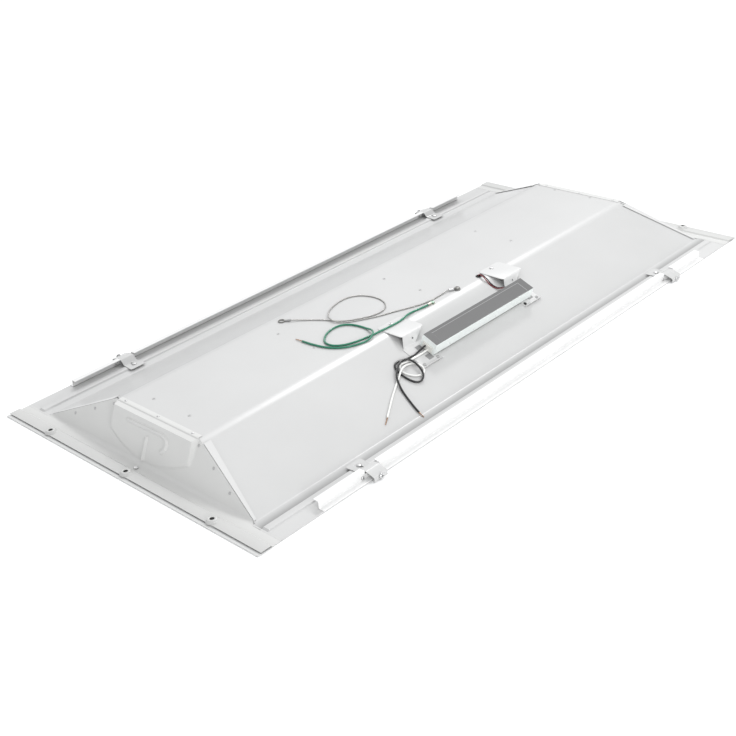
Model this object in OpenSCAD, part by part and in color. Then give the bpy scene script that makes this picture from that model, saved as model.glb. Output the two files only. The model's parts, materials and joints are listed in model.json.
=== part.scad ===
// Recessed 2 x 4 ft LED troffer light, seen with its light side down.
// X runs along the fixture, Y across it, Z up; the origin is at the centre of the bottom.

/* [Trim frame] */
// Overall length of the trim frame
frame_l = 1213; // [1180:1:1260]
// Overall width of the trim frame
frame_w = 597; // [590:1:610]
// Sheet thickness of the trim frame
trim_t = 0.8; // [0.6:0.1:1.2]
// Width of the folded hem at the frame's two ends
hem_w = 6; // [4:0.5:6]
// Inset of the trim's inner edge from the foot of the reflector's walls
trim_inset = 4; // [2:0.5:8]

/* [Reflector housing] */
// Height of the top panel above the ceiling face
housing_h = 61; // [56:1:70]
// Sheet thickness of the housing
sheet = 0.8; // [0.6:0.1:1]
// Half width of the flat top panel
ridge_y = 97.6; // [97.6:0.1:102]
// Width of a side flange, from a slope's foot to the frame's edge
side_flange = 58.5; // [56:0.5:62]
// Width of the end flange beyond the end wall's foot
end_flange = 45.5; // [45:0.5:48]
// How far an end wall leans in from foot to top
end_lean = 36; // [30:1:40]
// Bend radius along the two ridges
ridge_r = 25; // [15:1:30]
// Distance of a stiffening rib's near edge from the frame's edge
rib_inset = 40.5; // [38:0.5:42]
// Width of the stiffening rib
rib_w = 14; // [13:0.5:15]
// Height of the stiffening rib
rib_h = 2.4; // [1.6:0.1:2.6]

/* [End plates] */
// Width of the hem that laps over the top panel
lap_w = 8; // [6:0.5:10]
// How far the wall's sloping edges stand proud of the slopes
wall_proud = 2.5; // [1:0.5:4]
// Half width of the raised panel pressed in the wall
press_y = 86; // [70:1:90]
// Depth of the raised panel at its lower corners
press_d = 5; // [3:0.5:6]
// Spacing of the mounting bosses across the fixture
boss_pitch = 193; // [180:1:200]
// Diameter of a mounting boss
boss_d = 18; // [15:0.5:20]
// Height of a mounting boss
boss_h = 3.6; // [2.5:0.1:4.5]
// Diameter of the hole in a mounting boss
boss_hole_d = 7; // [5:0.5:8]

/* [Side rails] */
// Half length of a side rail
rail_x = 488; // [470:1:500]
// Distance of a rail's web from the frame's edge
rail_inset = 9.5; // [9:0.1:10]
// Height of a rail
rail_h = 13; // [12.6:0.1:14]
// Sheet thickness of a rail
rail_t = 1; // [0.8:0.1:1.2]
// Width of a rail's upper lip
rail_lip = 10; // [8:0.5:11]

/* [Clips] */
// Distance of a clip from the middle of the fixture
clip_x = 384; // [360:1:400]
// Width of a clip's strap
clip_w = 26; // [20:1:28]
// Sheet thickness of a clip
clip_t = 1; // [0.8:0.1:1.2]
// Reach of a clip's tab beyond the frame's edge when let out
clip_reach = 7; // [7:0.5:9]
// Travel of a clip, from let out to drawn in
clip_travel = 6; // [4:0.5:6]
// Clearance round sliding pieces
slide_gap = 0.3; // [0.3:0.05:0.4]
// Shank diameter of a clip screw
screw_d = 4; // [3:0.5:4]
// Head diameter of a clip screw
screw_head_d = 9; // [7:0.5:9]

/* [Driver] */
// Length of the driver
driver_l = 250; // [220:1:260]
// Width of the driver
driver_w = 29.8; // [28:0.1:30]
// Height of the driver
driver_h = 23; // [20:0.5:25]
// Middle of the driver along the fixture
driver_x = 9; // [0:1:20]
// Distance of the driver below the ridge, along the slope
driver_s = 48.8; // [48:0.1:50]
// Sheet thickness of the driver's case
case_t = 0.8; // [0.5:0.1:0.8]

/* [Driver brackets] */
// Distance of each bracket from the driver's middle, left and right alike
bracket_off = 129; // [125:1:132]
// Sheet thickness of a bracket
bracket_t = 1; // [0.8:0.1:1.2]

/* [Light source] */
// Width of an LED board
board_w = 20; // [16:1:24]
// Length of an LED board
board_l = 508; // [480:1:510]
// Thickness of an LED board
board_t = 1.6; // [1:0.1:2]
// Distance of a board row from the middle of the row pair
board_y = 42; // [30:1:50]
// LED packages on each board
chips = 14; // [8:1:20]

/* [Lens] */
// Outer radius of the lens basket
lens_r = 101.5; // [98:0.5:104]
// Height of the lens basket's lowest line above the ceiling face
lens_z = 12; // [8:0.5:14]
// Wall thickness of the lens
lens_t = 2; // [1.5:0.1:2.5]
// Half length of the lens
lens_x = 515; // [490:1:518]

/* [Wires] */
// Diameter of the ground and line wires
wire_d = 3.2; // [2.8:0.1:3.2]
// Diameter of the bare copper in the line wires
core_d = 1.6; // [1.2:0.1:1.8]
// Diameter of the two LED leads
lead_d = 1.8; // [1.4:0.1:1.8]
// Diameter of the steel safety cable
cable_d = 2; // [1.6:0.1:2]

/* [Hidden] */
$fn = 48;
half_l = frame_l / 2;
half_w = frame_w / 2;
base_y = half_w - side_flange;
rib_y = half_w - rib_inset;
rail_y = half_w - rail_inset;
// Edge of the housing's flanges and the rails' feet, just inside the trim frame's
sheet_edge_y = half_w - 0.5;
// Top of the housing's flanges, which lie on the trim frame
flange_z = trim_t + sheet;
// Foot and top of an end wall along the fixture
foot_x = half_l - end_flange;
head_x = foot_x - end_lean;
// Seam between the side flanges and the end plates
seam_x = foot_x + 6;
slope_run = base_y - ridge_y;
slope_rise = housing_h - flange_z;
slope_a = atan2(slope_rise, slope_run);
slope_len = norm([slope_run, slope_rise]);
wall_a = atan2(slope_rise, end_lean);
wall_len = norm([end_lean, slope_rise]);
// Play between parts that only touch, and overlap of a cutting solid
touch = 0.1;
cut = 1;
// Row of LED board fasteners, measured from the driver side's hole pattern
board_mid_x = 10;
board_mid_y = 8;
board_pin_x = 251;
board_pin_end = 502;
bushing_pos = [107, -83];
cable_anchor = [46, -85.5];
ground_anchor = [-18, -86];
// Bolt beside the middle boss, and the hem's rivets
end_bolt_x = foot_x + 14;
lap_rivets_y = [-80, -2, 77];
rib_top = flange_z + rib_h;
// Height of the clip screws' axes
screw_z = 6;

// Bent sheet: an outline of thickness t to the right of a path
function unit(v) = v / norm(v);
function left_of(a, b) = let (d = unit(b - a)) [-d[1], d[0]];
function corner_dir(p, i) =
    let (last = len(p) - 1)
    let (n0 = left_of(p[max(i - 1, 0)], p[max(i, 1)]))
    let (n1 = left_of(p[min(i, last - 1)], p[min(i + 1, last)]))
    (n0 + n1) / (1 + n0 * n1);
function bent(p, t) = concat(p, [for (i = [len(p) - 1:-1:0]) p[i] - t * corner_dir(p, i)]);
function arc_pts(c, r, a0, a1, n) =
    [for (i = [0:n]) let (a = a0 + (a1 - a0) * i / n) c + r * [cos(a), sin(a)]];
function flip(p) = [for (i = [len(p) - 1:-1:0]) [-p[i][0], p[i][1]]];

// Extrudes an outline of [y, z] points along X, over x0 to x1
module along_x(x0, x1) {
    translate([x0, 0, 0]) rotate([90, 0, 90]) linear_extrude(x1 - x0) children();
}

// Extrudes an outline of [x, z] points along Y, over y0 to y1
module along_y(y0, y1) {
    translate([0, y1, 0]) rotate([90, 0, 0]) linear_extrude(y1 - y0) children();
}

// Local frame on the near slope: x along, -y down the slope, z out of it
module on_slope() {
    translate([0, -ridge_y, housing_h]) rotate([slope_a, 0, 0]) children();
}

// Local frame on the right end wall: -x up the wall, z out of it
module on_wall() {
    translate([foot_x, 0, flange_z]) rotate([0, wall_a, 0]) children();
}

// A point given along the fixture, down the near slope and out of it
function slope_pt(p) = [
    p[0],
    -ridge_y - p[1] * cos(slope_a) - p[2] * sin(slope_a),
    housing_h - p[1] * sin(slope_a) + p[2] * cos(slope_a)
];

// Pan head with a cross recess, its seat at z = 0
module pan_head(d, h) {
    difference() {
        union() {
            cylinder(d = d, h = h * 0.55);
            translate([0, 0, h * 0.55]) cylinder(d1 = d, d2 = d * 0.62, h = h * 0.45);
        }
        for (a = [0, 90]) {
            rotate([0, 0, a]) translate([-d * 0.27, -d * 0.06, h * 0.45]) cube([d * 0.54, d * 0.12, h]);
        }
    }
}

// Domed rivet, its head's seat at z = 0 and its shank reaching down through grip
module rivet(d, grip) {
    head = d * 0.36;
    cylinder(d = d * 1.9, h = head * 0.5);
    translate([0, 0, head * 0.5]) cylinder(d1 = d * 1.9, d2 = d * 1.1, h = head * 0.5);
    translate([0, 0, -grip]) cylinder(d = d, h = grip);
    translate([0, 0, -grip - head]) cylinder(d = d * 1.35, h = head);
}

// Trim frame

module trim_frame() {
    color("white") difference() {
        union() {
            translate([-half_l, -half_w, 0]) cube([frame_l, frame_w, trim_t]);
            for (x = [-half_l, half_l - hem_w]) {
                translate([x, -half_w, 0]) cube([hem_w, frame_w, 2 * trim_t]);
            }
        }
        translate([-foot_x + trim_inset, -base_y + trim_inset, -cut])
            cube([2 * (foot_x - trim_inset), 2 * (base_y - trim_inset), trim_t + 2 * cut]);
        boss_places() translate([0, 0, -cut]) cylinder(d = boss_hole_d + 1, h = trim_t + 2 * cut);
        for (s = [-1, 1]) {
            translate([s * end_bolt_x, 0, -cut]) cylinder(d = bolt_d, h = trim_t + 2 * cut);
        }
    }
}

// Reflector housing: the roll-formed sheet with the top panel, slopes, ribs and side flanges

ridge_t = ridge_r * tan(slope_a / 2);
rib_ramp = 1.5;
half_skin = concat(
    arc_pts([ridge_y - ridge_t, housing_h - ridge_r], ridge_r, 90, 90 - slope_a, 5),
    [[base_y, flange_z], [rib_y, flange_z], [rib_y + rib_ramp, rib_top],
     [rib_y + rib_w - rib_ramp, rib_top],
     [rib_y + rib_w, flange_z], [sheet_edge_y, flange_z]]
);
board_pins = [
    for (x = [-board_pin_end, -board_pin_x, 0, board_pin_x, board_pin_end])
        for (y = [-board_y, board_y]) [board_mid_x + x, board_mid_y + y]
];
board_pin_d = 3.2;
// Strip folded back along an end wall's edge on each slope, wide at the middle and narrow at the foot
hem_strip_w = 14;
hem_strip_top = 6;
hem_strip_low = slope_len - 2;
hem_strip_foot = [1, 5];

module slope_hems() {
    for (s = [-1, 1]) {
        for (e = [-1, 1]) {
            scale([e, s, 1]) translate([0, ridge_y, housing_h]) rotate([-slope_a, 0, 0])
                linear_extrude(sheet) polygon([
                    [head_x - hem_strip_w, hem_strip_top],
                    [head_x + end_lean * hem_strip_top / slope_len, hem_strip_top],
                    [foot_x - hem_strip_foot[0], hem_strip_low],
                    [foot_x - hem_strip_foot[1], hem_strip_low],
                    [head_x + end_lean / 2 - hem_strip_w, slope_len / 2]
                ]);
        }
    }
}

module end_wedge() {
    along_y(-rib_y, rib_y) polygon([
        [foot_x, flange_z], [head_x, housing_h], [head_x - cut * end_lean / slope_rise, housing_h + cut],
        [half_l, housing_h + cut], [half_l, flange_z]
    ]);
}

module reflector_body() {
    color("gainsboro") difference() {
        union() {
            along_x(-seam_x, seam_x) polygon(bent(concat(flip(half_skin), half_skin), sheet));
            slope_hems();
        }
        for (a = [0, 180]) {
            rotate([0, 0, a]) end_wedge();
            rotate([0, 0, a]) translate([foot_x, -foot_edge_y, 0])
                cube([seam_x, 2 * foot_edge_y, flange_z + cut]);
        }
        for (p = board_pins) {
            translate([p[0], p[1], housing_h - cut - sheet]) cylinder(d = board_pin_d, h = sheet + 2 * cut);
        }
        top_hole(bushing_pos, bushing_d);
        top_hole(cable_anchor, anchor_d);
        top_hole(ground_anchor, anchor_d);
        for (p = bracket_screw_pts) {
            top_hole(p, anchor_d);
        }
        for (s = [-1, 1]) {
            for (y = lap_rivets_y) {
                top_hole([s * lap_rivet_x, s * y], lap_rivet_d);
            }
        }
        clip_places() translate([0, clip_rivet_y, flange_z]) cylinder(d = clip_rivet_d, h = rib_h + cut);
    }
}

module top_hole(p, d) {
    translate([p[0], p[1], housing_h - sheet - cut]) cylinder(d = d, h = sheet + 2 * cut);
}

// End plates

lap_rivet_x = head_x - lap_w / 2;
lap_rivet_d = 2.4;
bolt_d = 4;
step_x = foot_x + 19;
step_w = 3;
step_h = 2.2;
end_edge_x = half_l - hem_w;
// How far an end wall reaches past the slopes, and where it then meets the side flanges
side_edge = wall_proud / cos(slope_a);
foot_edge_y = base_y + side_edge;
boss_x = end_edge_x - 7.5;
pad_z = flange_z + step_h;
plate_skin = [
    [head_x - lap_w, housing_h + sheet],
    [head_x + sheet * tan(wall_a / 2), housing_h + sheet],
    [foot_x + sheet / sin(wall_a), flange_z],
    [step_x, flange_z],
    [step_x + step_w, pad_z],
    [end_edge_x, pad_z]
];
press_top = wall_len - 6;
press_low = 23;
press_foot = 3;
press_corner = 9;
press_slope = press_d / (press_top - press_low);
bead_r = 1.5;

// Outline of the raised panel as [-up the wall, across], drawn in by k all round
function press_outline(k) = concat(
    [[-press_top + k, press_y - k], [-press_top + k, -press_y + k]],
    arc_pts([-press_low - press_corner, -press_y + press_corner], press_corner - k, 270, 340, 4),
    [[-press_foot - k, 0]],
    arc_pts([-press_low - press_corner, press_y - press_corner], press_corner - k, 20, 90, 4)
);

module press_block(k) {
    intersection() {
        translate([0, 0, -cut]) linear_extrude(press_d * 3) polygon(press_outline(k));
        along_y(-press_y, press_y) polygon([
            [-press_top, -cut - k], [-press_top, -k], [0, press_slope * press_top - k], [0, -cut - k]
        ]);
    }
}

// Pressed lines on the raised panel: one turns a corner and runs down, and one is upright
line_v = 50;
line_y = [-60, 18];
line_turn_r = 12;
line_down = 10;
upright_y = -9;
upright_v = [35, 8];

module bead_down(v0, v1, y) {
    translate([-v0, y, 0]) rotate([0, 90, 0]) cylinder(r = bead_r, h = v0 - v1);
    for (v = [v0, v1]) {
        translate([-v, y, 0]) sphere(r = bead_r);
    }
}

module press_beads() {
    drop = atan(press_slope);
    turn_v = line_v - line_turn_r;
    translate([-press_top, 0, 0]) rotate([0, -drop, 0]) translate([press_top, 0, 0]) {
        translate([-line_v, line_y[0], 0]) sphere(r = bead_r);
        translate([-line_v, line_y[0], 0]) rotate([-90, 0, 0])
            cylinder(r = bead_r, h = line_y[1] - line_y[0]);
        translate([-turn_v, line_y[1], 0]) rotate([0, 0, 90])
            rotate_extrude(angle = 90) translate([line_turn_r, 0]) circle(r = bead_r);
        bead_down(turn_v, turn_v - line_down, line_y[1] + line_turn_r);
        bead_down(upright_v[0], upright_v[1], upright_y);
    }
}

module boss_places() {
    for (x = [-boss_x, boss_x]) {
        for (y = [-boss_pitch, 0, boss_pitch]) {
            translate([x, y, 0]) children();
        }
    }
}

// Section of a boss, drawn up from the pad in one sheet thickness
module boss_ring() {
    top_r = boss_d / 2 - boss_h * 0.7;
    rotate_extrude() polygon([
        [boss_d / 2 + 1, pad_z - sheet], [boss_d / 2 + 1, pad_z], [boss_d / 2, pad_z],
        [top_r, pad_z + boss_h], [boss_hole_d / 2, pad_z + boss_h],
        [boss_hole_d / 2, pad_z + boss_h - sheet], [top_r - 0.5, pad_z + boss_h - sheet],
        [boss_d / 2 - 0.8, pad_z - sheet]
    ]);
}

module end_plate() {
    difference() {
        union() {
            difference() {
                along_y(-sheet_edge_y, sheet_edge_y) polygon(bent(plate_skin, sheet));
                // Sides of the wall, above the slopes
                for (s = [-1, 1]) {
                    along_x(0, seam_x + touch) polygon([
                        [s * (ridge_y + side_edge), housing_h + 5],
                        [s * (ridge_y + side_edge - 5 / tan(slope_a)), housing_h + 5],
                        [s * (ridge_y + side_edge), housing_h],
                        [s * foot_edge_y, flange_z],
                        [s * foot_edge_y, -cut],
                        [s * half_w, -cut],
                        [s * half_w, housing_h + 5]
                    ]);
                    // Ends of the hem on the top panel
                    translate([0, s > 0 ? ridge_y - 4 : -ridge_y - 40 + 4, housing_h])
                        cube([head_x - 0.5, 40, 3]);
                }
                for (y = [-boss_pitch, 0, boss_pitch]) {
                    translate([boss_x, y, pad_z - sheet - cut]) cylinder(d = boss_d + 1, h = 3);
                }
            }
            for (y = [-boss_pitch, 0, boss_pitch]) {
                translate([boss_x, y, 0]) boss_ring();
            }
            on_wall() translate([0, 0, sheet]) press_block(0);
            on_wall() translate([0, 0, sheet]) press_beads();
        }
        on_wall() press_block(sheet);
        for (y = lap_rivets_y) {
            translate([lap_rivet_x, y, housing_h - cut]) cylinder(d = lap_rivet_d, h = 3);
        }
        translate([end_bolt_x, 0, -cut]) cylinder(d = bolt_d, h = 5);
        for (p = wall_rivet_pts) {
            on_wall() translate([p[0], p[1], -cut]) cylinder(d = wall_rivet_d, h = 3);
        }
    }
}

module end_plate_left() {
    color("whitesmoke") rotate([0, 0, 180]) end_plate();
}

module end_plate_right() {
    color("whitesmoke") end_plate();
}

// Rivets along the wall's sloping edges, as [-up the wall, across]
wall_rivet_d = 2.4;
wall_rivet_in = 7;
wall_rivet_pts = [
    for (s = [-1, 1]) for (k = [0.02, 0.3, 0.6])
        [-wall_len * (1 - k) + wall_rivet_in, s * (ridge_y + k * slope_run)]
];

module end_rivets() {
    for (y = lap_rivets_y) {
        translate([lap_rivet_x, y, housing_h + sheet]) rivet(lap_rivet_d, 2 * sheet);
    }
    for (p = wall_rivet_pts) {
        on_wall() translate([p[0], p[1], sheet]) rivet(wall_rivet_d, sheet);
    }
}

module end_rivets_left() {
    color("silver") rotate([0, 0, 180]) end_rivets();
}

module end_rivets_right() {
    color("silver") end_rivets();
}

module end_bolts() {
    color("silver") for (s = [-1, 1]) {
        translate([s * end_bolt_x, 0, flange_z]) {
            translate([0, 0, -flange_z]) cylinder(d = bolt_d, h = flange_z);
            cylinder(d = 7.4, h = 2.6, $fn = 6);
        }
    }
}

// Side rails

lip_z = flange_z + rail_h;
foot_lip_z = flange_z + rail_t;
rail_skin = [
    [rail_y - rail_lip, lip_z], [rail_y, lip_z], [rail_y, foot_lip_z], [sheet_edge_y, foot_lip_z]
];
notch_w = clip_w + 3;
notch_z = screw_z + screw_d / 2 + 1.6;
rail_screw_off = 20;

module rail() {
    difference() {
        along_x(-rail_x, rail_x) polygon(bent(rail_skin, rail_t));
        for (s = [-1, 1]) {
            translate([s * clip_x - notch_w / 2, rail_y - rail_lip - cut, notch_z])
                cube([notch_w, rail_lip + 2 * cut, rail_h]);
            translate([s * clip_x, rail_y - 3, screw_z]) rotate([-90, 0, 0])
                cylinder(d = screw_d + 2 * slide_gap, h = 5);
            translate([s * clip_x - rail_screw_off, rail_y - 3, screw_z]) rotate([-90, 0, 0])
                cylinder(d = 3, h = 5);
        }
    }
}

module rail_near() {
    color("white") mirror([0, 1, 0]) rail();
}

module rail_far() {
    color("white") rail();
}

module rail_screws() {
    color("silver") for (m = [0, 1]) {
        mirror([0, m, 0]) for (s = [-1, 1]) {
            translate([s * clip_x - rail_screw_off, rail_y, screw_z]) rotate([-90, 0, 0]) {
                pan_head(6, 2);
                translate([0, 0, -4]) cylinder(d = 3, h = 4);
            }
        }
    }
}

// Spring clips: each slides across on a rivet and is drawn by its screw

tab_y = half_w + clip_reach;
clip_rivet_y = rib_y + 4.8;
clip_rivet_d = 4;
clip_foot_w = 30;
foot_z = rib_top + slide_gap + clip_t;
strap_z = flange_z + rail_h - 1.6;
tab_z = screw_z + 2.6;
clip_foot = [[rib_y - 8, foot_z], [rib_y + 14, foot_z]];
clip_strap = [
    [rib_y + 12, foot_z], [rib_y + 15, foot_z], [rib_y + 22, strap_z], [rail_y + 1, strap_z],
    [tab_y - 1.5, tab_z], [tab_y, tab_z - 1.5], [tab_y, trim_t + slide_gap]
];

module clip() {
    difference() {
        union() {
            along_x(-clip_foot_w / 2, clip_foot_w / 2) polygon(bent(clip_foot, clip_t));
            along_x(-clip_w / 2, clip_w / 2) polygon(bent(clip_strap, clip_t));
        }
        translate([0, clip_rivet_y, 0]) slot();
        translate([0, rail_y, screw_z]) rotate([-90, 0, 0])
            cylinder(d = screw_d + 2 * slide_gap, h = 20);
    }
}

// Slot that lets the clip slide in over its rivet
module slot() {
    slot_d = clip_rivet_d + 2 * slide_gap;
    cylinder(d = slot_d, h = 10);
    translate([0, clip_travel, 0]) cylinder(d = slot_d, h = 10);
    translate([-slot_d / 2, 0, 0]) cube([slot_d, clip_travel, 10]);
}

module clip_at(sx, sy) {
    scale([1, sy, 1]) translate([sx * clip_x, 0, 0]) children();
}

module clip_places() {
    for (sx = [-1, 1]) {
        for (sy = [-1, 1]) {
            clip_at(sx, sy) children();
        }
    }
}

module clip_near_left() {
    color("white") clip_at(-1, -1) clip();
}

module clip_near_right() {
    color("white") clip_at(1, -1) clip();
}

module clip_far_left() {
    color("white") clip_at(-1, 1) clip();
}

module clip_far_right() {
    color("white") clip_at(1, 1) clip();
}

module clip_screw() {
    screw_in = 22;
    translate([0, tab_y + slide_gap, screw_z]) rotate([-90, 0, 0]) {
        pan_head(screw_head_d, 2.4);
        translate([0, 0, -screw_in]) cylinder(d = screw_d, h = screw_in);
    }
}

module clip_screw_near_left() {
    color("silver") clip_at(-1, -1) clip_screw();
}

module clip_screw_near_right() {
    color("silver") clip_at(1, -1) clip_screw();
}

module clip_screw_far_left() {
    color("silver") clip_at(-1, 1) clip_screw();
}

module clip_screw_far_right() {
    color("silver") clip_at(1, 1) clip_screw();
}

module clip_rivets() {
    seat = foot_z + slide_gap;
    grip = seat - rib_top + sheet;
    head = 0.7;
    color("silver") clip_places() translate([0, clip_rivet_y, seat]) {
        cylinder(d = 2 * clip_rivet_d, h = head);
        translate([0, 0, head]) cylinder(d1 = 2 * clip_rivet_d, d2 = clip_rivet_d + 1, h = head);
        translate([0, 0, -grip]) cylinder(d = clip_rivet_d, h = grip);
        translate([0, 0, -grip - head]) cylinder(d = clip_rivet_d + 1.4, h = head);
    }
}

// Driver brackets: one bent sheet each, screwed to the top panel and carrying the driver

bracket_flange = [-13, 41];
bracket_back_y = 73;
bracket_front_y = 127;
// The web below the flange's front edge: its two sides along the fixture at the top and at the foot
web_top = [-10, 35];
web_low = [-18, 10];
tray_s = [40, driver_s + 40];
tray_half = 21;
// The tray's square openings: size, and distance of their upper edges below the tray's top
tray_window = [12, 11];
tray_window_s = [8, 30];
tray_screw_x = 16;
tray_screw_in = 5;
bracket_lip = 3;
bracket_screw_x = 12;
bracket_screw_y = 82;
anchor_d = 3.4;
tray_screw_d = 3;
// Length of the anchor screws below the panel's top face
anchor_in = 2.6;
bracket_xs = [driver_x - 7 - bracket_off, driver_x - 7 + bracket_off];
bracket_screw_pts = [for (x = bracket_xs) [x + bracket_screw_x, -bracket_screw_y]];
// Path of the bend as [across, up], from the panel's flange to the tray's lip, near side positive
function near_pt(s, h) = let (p = slope_pt([0, s, h])) [-p[1], p[2]];
bracket_path = [
    [bracket_back_y, housing_h + bracket_t], [bracket_front_y, housing_h + bracket_t],
    near_pt(tray_s[0], bracket_t), near_pt(tray_s[1], bracket_t),
    near_pt(tray_s[1], bracket_t + bracket_lip)
];

module bracket(x) {
    tray_top = bracket_path[2];
    translate([x, 0, 0]) mirror([0, 1, 0]) difference() {
        intersection() {
            along_x(-2 * tray_half, 2 * bracket_flange[1]) polygon(bent(bracket_path, bracket_t));
            union() {
                // Flange on the panel, its web and the tray
                translate([bracket_flange[0], bracket_back_y, housing_h - cut])
                    cube([bracket_flange[1] - bracket_flange[0], bracket_front_y - bracket_back_y,
                          3 * cut]);
                along_y(bracket_front_y - 6 * cut, tray_top[0] + 4 * cut) polygon([
                    [web_top[0], housing_h + 2 * cut], [web_top[1], housing_h + 2 * cut],
                    [web_low[1], tray_top[1] - 4 * cut], [web_low[0], tray_top[1] - 4 * cut]
                ]);
                translate([-tray_half, tray_top[0] - cut, 0])
                    cube([2 * tray_half, tray_s[1], tray_top[1] + 1.5 * cut]);
            }
        }
        for (s = tray_window_s) {
            mirror([0, 1, 0]) on_slope() translate([-cut, -tray_s[0] - s - tray_window[1], -cut])
                cube([tray_window[0], tray_window[1], bracket_t + 2 * cut]);
        }
        translate([bracket_screw_x, bracket_screw_y, housing_h - cut]) cylinder(d = anchor_d, h = 4 * cut);
        for (sx = [-1, 1]) {
            mirror([0, 1, 0]) on_slope() translate([sx * tray_screw_x, -tray_s[1] + tray_screw_in, -cut])
                cylinder(d = tray_screw_d, h = bracket_t + 2 * cut);
        }
    }
}

module bracket_left() {
    color("whitesmoke") bracket(bracket_xs[0]);
}

module bracket_right() {
    color("whitesmoke") bracket(bracket_xs[1]);
}

module bracket_screws() {
    color("silver") for (p = bracket_screw_pts) {
        translate([p[0], p[1], housing_h + bracket_t]) {
            pan_head(7, 2);
            translate([0, 0, -bracket_t - anchor_in]) cylinder(d = anchor_d, h = bracket_t + anchor_in);
        }
    }
}

// Driver

case_gap = 0.1;
driver_lo = driver_x - driver_l / 2;
base_h = driver_h - 3;

module driver_frame() {
    on_slope() translate([driver_lo, -driver_s - driver_w, bracket_t]) children();
}

// Slot for the line wires in the case's left end: width, height, place across and up
line_slot = [18, 10];
line_slot_y = driver_w - 24;
line_slot_z = 3;
// Slot for the two LED leads in the uphill side: width, height, place along and up
lead_slot = [10, 6];
lead_x = 109;
lead_slot_x = lead_x - driver_lo - 3;
lead_slot_z = 8;
skirt = 3;

module line_slot_from(z) {
    translate([-cut, line_slot_y, z]) cube([5 * cut, line_slot[0], line_slot_z + line_slot[1] - z]);
}

module lead_slot_cut() {
    translate([lead_slot_x, driver_w - 4 * cut, lead_slot_z]) cube([lead_slot[0], 5 * cut, lead_slot[1]]);
}

module driver_base() {
    in = case_t + case_gap;
    color("lightgray") driver_frame() difference() {
        translate([in, in, 0]) cube([driver_l - 2 * in, driver_w - 2 * in, base_h]);
        translate([in + case_t, in + case_t, case_t])
            cube([driver_l - 2 * in - 2 * case_t, driver_w - 2 * in - 2 * case_t, driver_h]);
        line_slot_from(line_slot_z);
        lead_slot_cut();
    }
}

module driver_cover() {
    color("darkgray") driver_frame() difference() {
        cube([driver_l, driver_w, driver_h]);
        translate([case_t, case_t, -cut])
            cube([driver_l - 2 * case_t, driver_w - 2 * case_t, driver_h - case_t + cut]);
        // The front wall stops above the base's foot
        translate([-cut, -cut, -cut]) cube([driver_l + 2 * cut, case_t + 2 * cut + touch, skirt + cut]);
        line_slot_from(-cut);
        lead_slot_cut();
    }
}

module driver_bushing() {
    plug_x = case_t * 5;
    flange_t = 1.8;
    flange_x = 2;
    color("white") driver_frame() {
        difference() {
            union() {
                translate([-flange_x, line_slot_y + touch, line_slot_z + touch])
                    cube([flange_x + plug_x, line_slot[0] - 2 * touch, line_slot[1] - 2 * touch]);
                translate([-flange_x, line_slot_y - 1, line_slot_z - 1])
                    cube([flange_t, line_slot[0] + 2, line_slot[1] + 1]);
            }
            translate([0, line_slot_y + 3, line_slot_z + 2])
                cube([plug_x + cut, line_slot[0] - 6, line_slot[1] - 5]);
        }
        translate([lead_slot_x + touch, driver_w - flange_x - cut, lead_slot_z + touch])
            cube([lead_slot[0] - 2 * touch, flange_x + cut, lead_slot[1] - 2 * touch]);
    }
}

// Board in the driver: inset from the case, height and thickness, and its posts
board_in = [8, 4];
board_seat = 5;
driver_board_t = 1.6;
post_in = [6, 2.5];
post_d = 3.4;

module driver_board() {
    ends = board_in + post_in;
    color("darkgreen") driver_frame() {
        translate([board_in[0], board_in[1], board_seat])
            cube([driver_l - 2 * board_in[0], driver_w - 2 * board_in[1], driver_board_t]);
        for (x = [ends[0], driver_l / 2, driver_l - ends[0]]) {
            for (y = [ends[1], driver_w - ends[1]]) {
                translate([x, y, case_t]) cylinder(d = post_d, h = board_seat - case_t);
            }
        }
    }
}

// Blocks on the driver's board, as [place from its middle, length, width, height]
blocks = [[-92, 10, 14, 9], [-52, 18, 6, 12], [-2, 26, 18, 13], [60, 3, 14, 12], [90, 12, 12, 9]];
// Round cans on it, as [place from its middle, diameter, height]
cans = [[-32, 9, 12], [26, 12, 13.5], [42, 12, 13.5]];
// Wound rings on it, as [place from its middle, mean radius, radius of the winding]
rings = [[-72, 5.6, 3.3], [74, 5, 3.3]];

module driver_parts() {
    color("goldenrod") driver_frame()
        translate([driver_l / 2, driver_w / 2, board_seat + driver_board_t]) {
            for (b = blocks) {
                translate([b[0] - b[1] / 2, -b[2] / 2, 0]) cube([b[1], b[2], b[3]]);
            }
            for (c = cans) {
                translate([c[0], 0, 0]) cylinder(d = c[1], h = c[2]);
            }
            for (r = rings) {
                translate([r[0], 0, r[2]]) rotate_extrude() translate([r[1], 0]) circle(r = r[2], $fn = 24);
            }
        }
}

module driver_screws() {
    color("dimgray") on_slope() for (b = bracket_xs) {
        for (sx = [-1, 1]) {
            translate([b + sx * tray_screw_x, -tray_s[1] + tray_screw_in, bracket_t]) {
                pan_head(5.6, 1.8);
                translate([0, 0, -bracket_t]) cylinder(d = tray_screw_d, h = bracket_t);
            }
        }
    }
}

// Light source: four boards under the top panel

board_z = housing_h - sheet - board_t;
board_xs = [board_mid_x - board_l / 2, board_mid_x + board_l / 2];

module led_board(x, y) {
    color("white") difference() {
        translate([x - board_l / 2 + 1, y - board_w / 2, board_z]) cube([board_l - 2, board_w, board_t]);
        for (p = board_pins) {
            translate([p[0], p[1], board_z - cut]) cylinder(d = board_pin_d, h = board_t + 2 * cut);
        }
    }
}

module led_board_near_left() {
    led_board(board_xs[0], board_mid_y - board_y);
}

module led_board_near_right() {
    led_board(board_xs[1], board_mid_y - board_y);
}

module led_board_far_left() {
    led_board(board_xs[0], board_mid_y + board_y);
}

module led_board_far_right() {
    led_board(board_xs[1], board_mid_y + board_y);
}

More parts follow.
